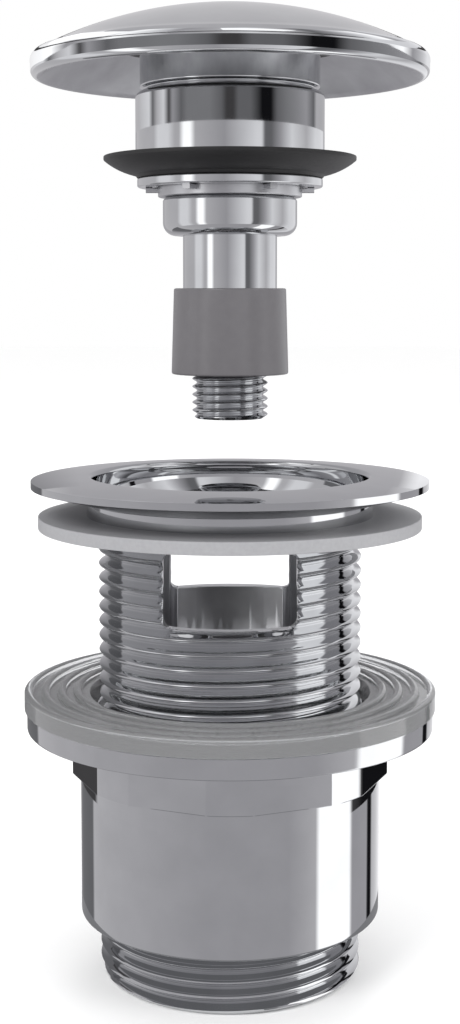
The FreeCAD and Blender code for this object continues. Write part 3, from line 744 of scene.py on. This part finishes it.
def make_barrel():
    """The plain turned part of the tail body."""
    return turned("barrel", [
        (OUTLET_BORE, OUTLET_LENGTH), (BARREL_RADIUS, OUTLET_LENGTH), (BARREL_RADIUS, BAND_TOP),
        (tail_radius, BAND_TOP), (tail_radius, tail_top), (BODY_BORE, tail_top),
        (BODY_BORE, LEDGE), (OUTLET_BORE, LEDGE),
    ], BARREL_EDGE)


outlet = threaded("outlet_thread", THREAD_CREST, PIPE_DEPTH, PIPE_PITCH, tail_foot, OUTLET_LENGTH,
                  OUTLET_BORE, THREAD_CHAMFER)
tail = join("tail_turning", [outlet, make_barrel(), band])
dress_plated(tail, "tail", "tail_body")

# %% [markdown]
# The plug's cap is pressed and rolled: a shallow dome above, a dish below, and a thick round edge that
# gathers the light into one bright line all the way round. Its underside is only thinly plated.

# %% Cap
CAP_EDGE_HEIGHT = 4.0 * MM
CAP_EDGE_WIDTH = 1.5 * MM
CAP_EDGE_ROUND = 1.0 * MM
CAP_EDGE_BULGE = 0.62 * MM
LOWER_EDGE_BULGE = 0.29 * MM
CAP_WALL_TOP = 2.0 * MM
DISH_BULGE = 0.75 * MM
DISH_LIFT = 0.1 * MM
SATIN_INSET = 1.2 * MM
FACING_DOWN = -0.3

cap_radius, cap_rim, cap_top = span("plug_cap")
cap_gasket_radius, cap_gasket_foot, cap_inside = span("cap_gasket")


def dome_bulge(width, rise):
    """How far the dome's outline bulges from a straight line, if it lies flat at the middle."""
    curve = (width ** 2 + rise ** 2) / (2 * rise)
    return curve - math.sqrt(curve ** 2 - (math.hypot(width, rise) / 2) ** 2)


def cap_outline():
    """Roof, dish, round edge and dome."""
    inside = cap_radius - CAP_EDGE_WIDTH
    shoulder = cap_rim + CAP_EDGE_HEIGHT
    under = arc((cap_gasket_radius, cap_inside), (inside, cap_rim + DISH_LIFT), DISH_BULGE, 16)
    lower_edge = arc((cap_radius - CAP_EDGE_ROUND, cap_rim), (cap_radius, cap_rim + CAP_EDGE_ROUND),
                     -LOWER_EDGE_BULGE, 5)
    upper_edge = arc((cap_radius, cap_rim + CAP_WALL_TOP), (inside, shoulder), -CAP_EDGE_BULGE, 8)
    dome = arc((inside, shoulder), (0, cap_top), -dome_bulge(inside, cap_top - shoulder), 28)
    return [(0, cap_inside)] + under + lower_edge + upper_edge + dome[1:]


def under_cap(face):
    """True on the dish under the cap."""
    return face.normal.z < FACING_DOWN and from_axis(face.center) < cap_radius - SATIN_INSET


cap = turned("domed_cap", cap_outline(), 0.0)
dress_plated(cap, "plug_head", "plug_cap")
refinish(cap, satin_chrome, under_cap)

# %% [markdown]
# Under the cap sits a black gasket, and under that the neck. The neck's spigot drops into the cup
# below. The dark line between neck and cup is a real gap, 0.7 mm wide, with the spigot behind it.

# %% Cap gasket and neck
CUP_WALL = 1.5 * MM
NECK_GAP = 0.7 * MM
NECK_ROOF = 2.0 * MM
NECK_EDGE = 0.25 * MM
SPIGOT_CLEARANCE = 0.1 * MM
CAP_STUD_HOLE = 2.55 * MM
CAP_GASKET_HOLE = 8.0 * MM

neck_radius, spigot_foot, neck_top = span("cap_neck")
cup_radius, cup_foot, cup_top = span("head_cup")

soft_outline = ring_outline(CAP_GASKET_HOLE, cap_gasket_radius, cap_gasket_foot, cap_inside)
soft_ring = turned("cap_seat_gasket", soft_outline, NECK_EDGE)
dress(soft_ring, "plug_head", black_rubber, "black_rubber", "cap_gasket")

spigot = cup_radius - CUP_WALL - SPIGOT_CLEARANCE
neck_foot = cup_top + NECK_GAP
neck = turned("neck_turning", [
    (spigot - CUP_WALL, spigot_foot), (spigot, spigot_foot), (spigot, neck_foot),
    (neck_radius, neck_foot), (neck_radius, neck_top), (CAP_STUD_HOLE, neck_top),
    (CAP_STUD_HOLE, neck_top - NECK_ROOF), (spigot - CUP_WALL, neck_top - NECK_ROOF),
], NECK_EDGE)
dress_plated(neck, "plug_head", "cap_neck")

# %% [markdown]
# The cup holds the spigot above and clamps the lip seal below. Its foot is stepped in, so that the
# rubber can fold up round it, and its top edge is chamfered.

# %% Cup
CUP_FLOOR = 3.0 * MM
CUP_FOOT_INSET = 0.5 * MM
CUP_FOOT_HEIGHT = 0.4 * MM
CUP_CHAMFER = 0.6 * MM
CUP_EDGE = 0.2 * MM
STEM_CLEARANCE = 0.05 * MM

stem_radius, stem_foot, stem_top = span("stem_tube")
stem_hole = stem_radius + STEM_CLEARANCE
cup = turned("cup_turning", [
    (stem_hole, cup_foot), (cup_radius - CUP_FOOT_INSET, cup_foot),
    (cup_radius - CUP_FOOT_INSET, cup_foot + CUP_FOOT_HEIGHT),
    (cup_radius, cup_foot + CUP_FOOT_HEIGHT + CUP_FOOT_INSET), (cup_radius, cup_top - CUP_CHAMFER),
    (cup_radius - CUP_CHAMFER, cup_top), (cup_radius - CUP_WALL, cup_top),
    (cup_radius - CUP_WALL, cup_foot + CUP_FLOOR), (stem_hole, cup_foot + CUP_FLOOR),
], CUP_EDGE)
dress_plated(cup, "plug_head", "head_cup")

# %% [markdown]
# The lip seal is one rubber moulding: a thick hub clamped under the cup, a fold, and a thin lip that
# rises outwards and bends against the bowl. Its outline is two long arcs between a few corners.

# %% Lip seal
SEAL_HUB = 14.5 * MM
SEAL_HUB_HEIGHT = 2.6 * MM
LIP_SAG = 0.35 * MM
LIP_UNDERSIDE = 0.7 * MM
LIP_UPPERSIDE = 0.1 * MM
FOLD_OUT = 0.4 * MM
FOLD_UP = 0.5 * MM
FOLD_BEYOND_CUP = 0.9 * MM
HUB_BEYOND_CUP = 0.3 * MM
SEAL_EDGE = 0.12 * MM

lip_radius, seal_foot, lip_top = span("lip_seal")
hub_top = seal_foot + SEAL_HUB_HEIGHT
under_lip = arc((SEAL_HUB + FOLD_OUT, seal_foot + FOLD_UP), (lip_radius, lip_top - LIP_UNDERSIDE),
                -LIP_SAG, 8)
over_lip = arc((lip_radius, lip_top - LIP_UPPERSIDE),
               (cup_radius + FOLD_BEYOND_CUP, hub_top - LIP_UPPERSIDE), LIP_SAG, 8)
seal_hub_foot = [(stem_hole, seal_foot), (SEAL_HUB, seal_foot)]
seal_hub_top = [(cup_radius + HUB_BEYOND_CUP, hub_top), (stem_hole, hub_top)]
seal = turned("lip_seal_moulding", seal_hub_foot + under_lip + over_lip + seal_hub_top, SEAL_EDGE)
dress(seal, "plug_head", black_rubber, "black_rubber", "lip_seal")

# %% [markdown]
# Below the seal a thin plated ring clamps it. The hub of the snap ring holds that ring with six small
# prongs, which show as bright points over the guide sleeve.

# %% Seal ring and snap ring
RING_HOLE = 12.0 * MM
RING_EDGE = 0.3 * MM
SNAP_RADIUS = 11.3 * MM
SNAP_EDGE = 0.2 * MM
PRONG_COUNT = 6
PRONG_OVERLAP = 0.6 * MM
PRONG_REACH = 13.2 * MM
PRONG_WIDTH = 1.3 * MM
PRONG_THICKNESS = 0.8 * MM
PRONG_ROUND = 0.15 * MM

seal_ring_radius, ring_foot, ring_top = span("seal_ring")
clamp_outline = ring_outline(RING_HOLE, seal_ring_radius, ring_foot, ring_top)
clamp_ring = turned("seal_clamp_ring", clamp_outline, RING_EDGE)
dress_plated(clamp_ring, "plug_head", "seal_ring")

_, snap_foot, snap_top = span("snap_ring")
snap_hub = turned("snap_hub", ring_outline(stem_hole, SNAP_RADIUS, snap_foot, snap_top), SNAP_EDGE)


def make_prong(index):
    """One prong, rounded along its length, pointing out to the right."""
    low = (SNAP_RADIUS - PRONG_OVERLAP, -PRONG_WIDTH / 2, ring_foot - PRONG_THICKNESS)
    high = (PRONG_REACH, PRONG_WIDTH / 2, ring_foot)
    return block(f"prong_{index}", low, high, PRONG_ROUND, 0)


snap = join("snap_ring_and_prongs", [snap_hub] + ring_of(PRONG_COUNT, make_prong))
dress_plated(snap, "plug_head", "snap_ring", satin_chrome)

# %% [markdown]
# The guide sleeve centres the plug in the boss: a short turned sleeve with a full round at its foot.
# The stem is a tube with a thick roof, which slides down into the collar when the cap is pressed.

# %% Guide sleeve and stem
GUIDE_ROUND = 2.0 * MM
GUIDE_BULGE = 0.586 * MM
GUIDE_CHAMFER = 0.5 * MM
STEM_WALL = 1.2 * MM
STEM_ROOF = 3.0 * MM
STEM_EDGE = 0.15 * MM

guide_radius, guide_foot, guide_top = span("guide_sleeve")
guide_round = arc((guide_radius - GUIDE_ROUND, guide_foot), (guide_radius, guide_foot + GUIDE_ROUND),
                  -GUIDE_BULGE, 8)
guide = turned("guide_sleeve_turning", [(stem_hole, guide_foot)] + guide_round + [
    (guide_radius, guide_top - GUIDE_CHAMFER), (guide_radius - GUIDE_CHAMFER, guide_top),
    (stem_hole, guide_top),
], STEM_EDGE)
dress_plated(guide, "plug_head", "guide_sleeve")

stem_bore = stem_radius - STEM_WALL
stem_roof = stem_top - STEM_ROOF
stem = turned("stem_turning", [
    (stem_bore, stem_foot), (stem_radius, stem_foot), (stem_radius, stem_top),
    (CAP_STUD_HOLE, stem_top), (CAP_STUD_HOLE, stem_roof), (stem_bore, stem_roof),
], STEM_EDGE)
dress_plated(stem, "plug_head", "stem_tube")

# %% [markdown]
# The insert stays with the stud. Its collar is a plain moulded sleeve of grey acetal with a slight
# draft, which let it leave its mould, and a floor that the core's shank goes through.

# %% Collar
COLLAR_TOP_RADIUS = 8.85 * MM
COLLAR_FLOOR = 2.0 * MM
COLLAR_EDGE = 0.3 * MM
SHANK_HOLE = 4.03 * MM

collar_radius, collar_foot, collar_top = span("guide_collar")
collar = turned("grey_collar", [
    (SHANK_HOLE, collar_foot), (collar_radius, collar_foot), (COLLAR_TOP_RADIUS, collar_top),
    (stem_hole, collar_top), (stem_hole, collar_foot + COLLAR_FLOOR),
    (SHANK_HOLE, collar_foot + COLLAR_FLOOR),
], COLLAR_EDGE)
dress(collar, "plug_insert", acetal_grey, "grey_plastic", "guide_collar")

# %% [markdown]
# The core is the stud that screws into the boss, a shank through the collar's floor, a disc that
# holds the collar down, and a thin post that carries the click mechanism inside the stem.

# %% Threaded core
STUD_BORE = 0.6 * MM
STUD_CHAMFER = 0.6 * MM
STUD_STEPS = 72
SHANK_RADIUS = 4.0 * MM
SHANK_OVERLAP = 1.0 * MM
DISC_RADIUS = 6.0 * MM
DISC_HEIGHT = 1.5 * MM
POST_RADIUS = 2.5 * MM
POST_EDGE = 0.1 * MM

stud_radius, stud_foot, post_top = span("threaded_core")
stud = threaded("stud_thread", stud_radius, STUD_DEPTH, STUD_PITCH, stud_foot, collar_foot, STUD_BORE,
                STUD_CHAMFER, STUD_STEPS)
disc_foot = collar_foot + COLLAR_FLOOR
post = turned("core_post", [
    (0, collar_foot - SHANK_OVERLAP), (SHANK_RADIUS, collar_foot - SHANK_OVERLAP),
    (SHANK_RADIUS, disc_foot), (DISC_RADIUS, disc_foot), (DISC_RADIUS, disc_foot + DISC_HEIGHT),
    (POST_RADIUS, disc_foot + DISC_HEIGHT), (POST_RADIUS, post_top), (0, post_top),
], POST_EDGE)
core = join("core_and_stud", [stud, post])
dress_plated(core, "plug_insert", "threaded_core")

# %% [markdown]
# The click spring stands on its washer and pushes against the roof of the stem. One circle of wire is
# wound up into the coil. The real coil gets shorter as the head is pressed; this one keeps its length.

# %% Click spring
COIL_RADIUS = 4.7 * MM
WIRE_RADIUS = 0.5 * MM
WIRE_SIDES = 12
COIL_TURNS = 6
COIL_STEPS = 40
COIL_CLEARANCE = 0.03 * MM

_, coil_foot, coil_top = span("click_spring")


def make_coil():
    """Wind a circle of wire up the axis and close its two ends."""
    low = coil_foot + COIL_CLEARANCE + WIRE_RADIUS
    high = coil_top - COIL_CLEARANCE - WIRE_RADIUS
    steps = COIL_TURNS * COIL_STEPS
    bm = bmesh.new()
    section = bmesh.ops.create_circle(bm, segments=WIRE_SIDES, radius=WIRE_RADIUS)["verts"]
    bmesh.ops.rotate(bm, verts=section, cent=(0, 0, 0), matrix=Matrix.Rotation(math.pi / 2, 3, "X"))
    bmesh.ops.translate(bm, verts=section, vec=(COIL_RADIUS, 0, low))
    bmesh.ops.spin(bm, geom=bm.verts[:] + bm.edges[:], cent=(0, 0, 0), axis=UP,
                   dvec=(0, 0, (high - low) / steps), angle=FULL_TURN * COIL_TURNS, steps=steps,
                   use_merge=False)
    bmesh.ops.holes_fill(bm, edges=[e for e in bm.edges if e.is_boundary], sides=WIRE_SIDES)
    return finish_mesh(bm, "click_spring_coil")


coil = make_coil()
dress(coil, "plug_insert", spring_steel, "spring_steel", "click_spring")
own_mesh(coil)

# %% [markdown]
# The other pieces inside the stem keep their solid shapes and only get their finishes.

# %% Pieces inside the stem
INNER_FINISHES = {
    "cam_drum": acetal_white,
    "core_clip": spring_steel,
    "spring_washer": spring_steel,
    "cam_pins": turned_brass,
    "cap_stud": turned_brass,
}
for node, finish in INNER_FINISHES.items():
    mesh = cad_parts[node].data
    mesh.materials.clear()
    mesh.materials.append(finish)
print("refinished:", ", ".join(INNER_FINISHES))

# %% [markdown]
# The studio is white on every side: a white floor that keeps the waste's shadow, and a white world at
# strength 1, which is the background and the soft light at once. Three broad weak lamps give that
# light a direction.

# %% Floor, world and lamps
FLOOR_SIZE = 6.0
FLOOR_DROP = 0.02 * MM
LAMP_SIZE = 0.5
LAMP_AIM = Vector((0, 0, 70 * MM))
LAMPS = {
    "key_lamp": ((-0.55, -0.75, 0.85), 5.0),
    "fill_lamp": ((0.8, -0.45, 0.6), 2.2),
    "back_lamp": ((0.1, 0.9, 0.7), 2.0),
}


def make_floor():
    """A white paper sweep under the waste."""
    bm = bmesh.new()
    bmesh.ops.create_grid(bm, x_segments=1, y_segments=1, size=FLOOR_SIZE / 2)
    bmesh.ops.translate(bm, vec=(0, 0, -FLOOR_DROP), verts=bm.verts)
    floor = finish_mesh(bm, "studio_floor")
    painted_reflection = bpy.data.materials.new("white_paper_sweep")
    tree = empty_tree(painted_reflection)
    shader = add_node(tree, "ShaderNodeBsdfPrincipled",
                      inputs={"Base Color": linear("#fdfdfd"), "Roughness": 0.9})
    add_node(tree, "ShaderNodeOutputMaterial", links={"Surface": (shader, "BSDF")})
    floor.data.materials.append(painted_reflection)


def make_world():
    """An even white world at strength 1."""
    world = bpy.data.worlds.new("studio_world")
    bpy.context.scene.world = world
    tree = empty_tree(world)
    white = add_node(tree, "ShaderNodeBackground", inputs={"Color": linear("#ffffff"), "Strength": 1.0})
    add_node(tree, "ShaderNodeOutputWorld", links={"Surface": (white, "Background")})


def add_lamp(name, place, watts):
    """A square soft lamp that looks at the middle of the waste."""
    data = bpy.data.lights.new(name, "AREA")
    data.shape = "SQUARE"
    data.size = LAMP_SIZE
    data.energy = watts
    lamp = bpy.data.objects.new(name, data)
    lamp.location = place
    lamp.rotation_euler = (LAMP_AIM - Vector(place)).to_track_quat("-Z", "Y").to_euler()
    bpy.context.scene.collection.objects.link(lamp)


make_floor()
make_world()
for name, (place, watts) in LAMPS.items():
    add_lamp(name, place, watts)
print("lamps:", ", ".join(LAMPS))

# %% [markdown]
# Chrome needs something to reflect. A cylinder of grey cards stands close round the waste and shows
# only in reflections, like a photographer's cards just out of the picture, but these glow by themselves
# and are painted reflections. Each card has upright painted bands, and a round mirror squeezes them into
# the stripes that read as polished metal. A band is given by the place where it shows on the metal, so
# one helper works out where a round mirror looks.

# %% Helper for reflections
def looked_at(surface_angle, piece_radius, card_radius):
    """Where on a round card the front of a round mirror looks, both in degrees from the front."""
    turn = math.radians(surface_angle)
    along = piece_radius * math.cos(turn)
    reach = -along + math.sqrt(along ** 2 - piece_radius ** 2 + card_radius ** 2)
    across = piece_radius * math.sin(turn) + reach * math.sin(2 * turn)
    ahead = piece_radius * math.cos(turn) + reach * math.cos(2 * turn)
    return math.degrees(math.atan2(across, ahead))


print("the barrel's front at 35 degrees shows the card at", round(looked_at(35, 24 * MM, 44 * MM)))

# %% [markdown]
# A card glows by itself and paints a reflection. Its light is raised by what the plate swallows, so that
# the painted tone is the tone that the plate shows. The bands are a ramp over the angle round the axis.

# %% Painted reflection tones for the cards
PLATE_REFLECTANCE = 0.55
# Tones of painted reflection: each is the grey that the plate shows where it looks at a card glowing with
# it.
WHITE = "#ffffff"
PALE = "#c8c8ca"
LIGHT = "#a4a3a5"
MIDDLE = "#8e8d90"
SHADE = "#707072"
DEEP = "#5c5c5e"
DARK = "#3a393a"
BLACK = "#101012"


def add_glow(tree, inputs=None, links=None):
    """End a card's tree in a plain glow."""
    strength = {"Strength": 1 / PLATE_REFLECTANCE}
    light = add_node(tree, "ShaderNodeEmission", inputs={**strength, **(inputs or {})}, links=links)
    add_node(tree, "ShaderNodeOutputMaterial", links={"Surface": (light, "Emission")})


def painted_reflection_tone(name, tone):
    """A glowing painted reflection of one tone."""
    painted_reflection = bpy.data.materials.new(name)
    add_glow(empty_tree(painted_reflection), inputs={"Color": linear(tone)})
    return painted_reflection


def painted_reflection_bands(name, bands, piece_radius, card_radius, behind):
    """Upright bands of painted reflection. Each is (angle on a round piece's front, the tone that its
    plate then shows).
    """
    painted_reflection = bpy.data.materials.new(name)
    tree = empty_tree(painted_reflection)
    place = add_node(tree, "ShaderNodeTexCoord")
    parts = add_node(tree, "ShaderNodeSeparateXYZ", links={0: (place, "Object")})
    ahead = add_node(tree, "ShaderNodeMath", {"operation": "MULTIPLY"}, {1: -1.0}, {0: (parts, "Y")})
    angle = add_node(tree, "ShaderNodeMath", {"operation": "ARCTAN2"},
                     links={0: (parts, "X"), 1: (ahead, 0)})
    share = add_node(tree, "ShaderNodeMapRange", inputs={"From Min": -math.pi, "From Max": math.pi},
                     links={"Value": (angle, 0)})
    ramp = add_node(tree, "ShaderNodeValToRGB", links={"Fac": (share, "Result")})
    stops = ramp.color_ramp.elements
    stops.remove(stops[1])
    stops[0].position = 0.0
    stops[0].color = linear(behind)
    for surface_angle, tone in bands:
        degrees = looked_at(surface_angle, piece_radius, card_radius)
        stops.new((degrees + 180) / FULL_TURN_DEGREES).color = linear(tone)
    stops.new(1.0).color = linear(behind)
    add_glow(tree, links={"Color": (ramp, "Color")})
    return painted_reflection


# %% [markdown]
# The body's card has a white strip to the right of the middle and a black one beside it: they paint the
# barrel's bright and dark stripe as reflections. The spanner band's flats look further round, so it has
# its own short card with wider dark painted bands.

# %% Bands for the body
BODY_BANDS = [
    (-88, MIDDLE), (-78, DEEP), (-64.6, DEEP), (-63.4, LIGHT), (-8, MIDDLE), (22, MIDDLE), (33.4, LIGHT),
    (35, WHITE), (51, WHITE), (52.6, MIDDLE), (64.2, MIDDLE), (64.8, BLACK), (68.4, BLACK), (69.2, LIGHT),
    (84, PALE), (86, MIDDLE),
]
SPANNER_BANDS = [
    (-88, MIDDLE), (-80, DARK), (-62, DARK), (-60, LIGHT), (-8, MIDDLE), (22, MIDDLE), (33.4, LIGHT),
    (35, WHITE), (51, WHITE), (52.6, DARK), (60, BLACK), (76, BLACK), (79, LIGHT), (86, MIDDLE),
]

# %% [markdown]
# The plug's small pieces want more and narrower painted reflection bands: light ones for the stem and the
# guide sleeve, dark ones with a black stripe for the cup and the neck; broad light ones paint the cap's
# edge.

# %% Bands for the plug
PLUG_LOW_BANDS = [
    (-78, MIDDLE), (-74, LIGHT), (-50, LIGHT), (-46, PALE), (-38, PALE), (-33, LIGHT), (-30, LIGHT),
    (-27, WHITE), (-23, WHITE), (-20, LIGHT), (-3, MIDDLE), (15, PALE), (18, PALE), (20, DEEP),
    (24, DEEP), (30, MIDDLE), (38, PALE), (50, LIGHT), (60, PALE), (73, PALE), (78, MIDDLE),
]
PLUG_HIGH_BANDS = [
    (-90, MIDDLE), (-72, LIGHT), (-57, PALE), (-53, DEEP), (-49, LIGHT), (-43, PALE), (-39, DARK),
    (-36, MIDDLE), (-30, DEEP), (-26, SHADE), (-12, SHADE), (-5, DEEP), (-2, DARK), (2, DARK), (5, DEEP),
    (12, DEEP), (19, BLACK), (25, BLACK), (29, DEEP), (36, SHADE), (52, MIDDLE), (60, DEEP), (64, LIGHT),
    (90, MIDDLE),
]
RIM_BANDS = [
    (-90, LIGHT), (-60, WHITE), (-52, MIDDLE), (-40, LIGHT), (-34, WHITE), (-24, PALE), (-16, MIDDLE),
    (-4, LIGHT), (6, PALE), (18, LIGHT), (26, DEEP), (34, MIDDLE), (44, PALE), (56, WHITE), (62, MIDDLE),
    (76, PALE), (90, LIGHT),
]

# %% [markdown]
# Most cards go all the way round. Level glowing panels finish the room over the bowl and the cap, as
# painted reflections.

# %% Helpers for hanging the cards
UNSEEN_BY = ("visible_camera", "visible_diffuse", "visible_shadow", "visible_transmission")


def hang_card(card, painted_reflection):
    """Cards are seen in reflections only, and neither light nor shade the pieces."""
    card.data.materials.append(painted_reflection)
    for setting in UNSEEN_BY:
        setattr(card, setting, False)


def round_card(name, start, end, painted_reflection):
    """A card that goes all the way round, from one (radius, height) to another."""
    bm = bmesh.new()
    sweep_outline(bm, [start, end], closed=False)
    hang_card(finish_mesh(bm, name), painted_reflection)


def banded_card(name, radius, low, high, bands, piece_radius, behind=MIDDLE):
    """An upright round card whose bands are meant for a piece of one radius."""
    painted_reflection = painted_reflection_bands(f"{name}_paper", bands, piece_radius, radius, behind)
    round_card(name, (radius, low), (radius, high), painted_reflection)


def flat_card(name, centre, width, depth, tone):
    """A level glowing panel of one tone, a painted reflection."""
    bm = bmesh.new()
    bmesh.ops.create_grid(bm, x_segments=1, y_segments=1, size=0.5)
    bmesh.ops.scale(bm, vec=(width, depth, 1), verts=bm.verts)
    bmesh.ops.translate(bm, vec=centre, verts=bm.verts)
    hang_card(finish_mesh(bm, name), painted_reflection_tone(f"{name}_paper", tone))


# %% [markdown]
# The body's cards. The low ones are narrower, because the barrel is looked down on and would see past
# wider ones to the floor. The middle card reaches down behind them, so that no gap shows.

# %% Cards round the body
LOW_CARD = 44 * MM
WIDE_CARD = 60 * MM
BAND_CARD_FOOT = 21.5 * MM
LOW_CARD_TOP = 30 * MM
CARD_OVERLAP = 14 * MM
STEM_CARD_FOOT = 92 * MM
FLOOR_CARD_HEIGHT = 0.1 * MM
FLOOR_CARD_START = (22 * MM, FLOOR_CARD_HEIGHT)
FLOOR_CARD_END = (LOW_CARD, FLOOR_CARD_HEIGHT)
BARREL_SEEN = 24 * MM
SLEEVE_SEEN = 26 * MM

banded_card("low_card", LOW_CARD, 0.0, BAND_CARD_FOOT, BODY_BANDS, BARREL_SEEN)
banded_card("band_card", LOW_CARD, BAND_CARD_FOOT, LOW_CARD_TOP, SPANNER_BANDS, BARREL_SEEN)
# The floor card is a grey glowing ring on the floor: a painted grey reflection of the floor on the
# threads and the barrel's foot.
round_card("floor_card", FLOOR_CARD_START, FLOOR_CARD_END, painted_reflection_tone("floor_card_painted_reflection", SHADE))
banded_card("middle_card", WIDE_CARD, LOW_CARD_TOP - CARD_OVERLAP, STEM_CARD_FOOT, BODY_BANDS,
            SLEEVE_SEEN)
print("body's cards reach up to", round(STEM_CARD_FOOT / MM), "mm")

# %% [markdown]
# The plug's cards stand one over the other, each for the radius of the pieces at its height. A dark
# glowing line between the cap's two cards paints a dark reflection under its bright edge.

# %% Cards round the plug
HEAD_CARD_FOOT = 139 * MM
RIM_CARD_FOOT = 147.5 * MM
RIM_LINE_FOOT = 157.5 * MM
RIM_LINE_TOP = 162 * MM
CEILING = 215 * MM
STEM_SEEN = 9 * MM
CUP_SEEN = 14 * MM
CAP_SEEN = 31 * MM
PANEL_HEIGHT = 165 * MM
RIGHT_PANEL_HEIGHT = 150 * MM

banded_card("stem_card", WIDE_CARD, STEM_CARD_FOOT, HEAD_CARD_FOOT, PLUG_LOW_BANDS, STEM_SEEN)
banded_card("head_card", WIDE_CARD, HEAD_CARD_FOOT, RIM_CARD_FOOT, PLUG_HIGH_BANDS, CUP_SEEN)
banded_card("rim_card", WIDE_CARD, RIM_CARD_FOOT, RIM_LINE_FOOT, RIM_BANDS, CAP_SEEN, LIGHT)
round_card("rim_line", (WIDE_CARD, RIM_LINE_FOOT), (WIDE_CARD, RIM_LINE_TOP),
           painted_reflection_tone("rim_line_painted_reflection", DARK))
banded_card("upper_card", WIDE_CARD, RIM_LINE_TOP, CEILING, RIM_BANDS, CAP_SEEN, LIGHT)
# The ceiling card and the three panels glow as a painted reflection of the room; the white and pale
# panels are painted highlights in the bowl and on the cap.
flat_card("ceiling_card", (0, 0, CEILING), 2 * WIDE_CARD, 2 * WIDE_CARD, LIGHT)
flat_card("right_panel", (44 * MM, -22 * MM, RIGHT_PANEL_HEIGHT), 26 * MM, 40 * MM, PALE)
flat_card("front_panel", (10 * MM, -50 * MM, PANEL_HEIGHT), 26 * MM, 14 * MM, WHITE)
flat_card("left_panel", (-43 * MM, -6 * MM, PANEL_HEIGHT), 28 * MM, 50 * MM, WHITE)
print("plug's cards reach up to", round(CEILING / MM), "mm")
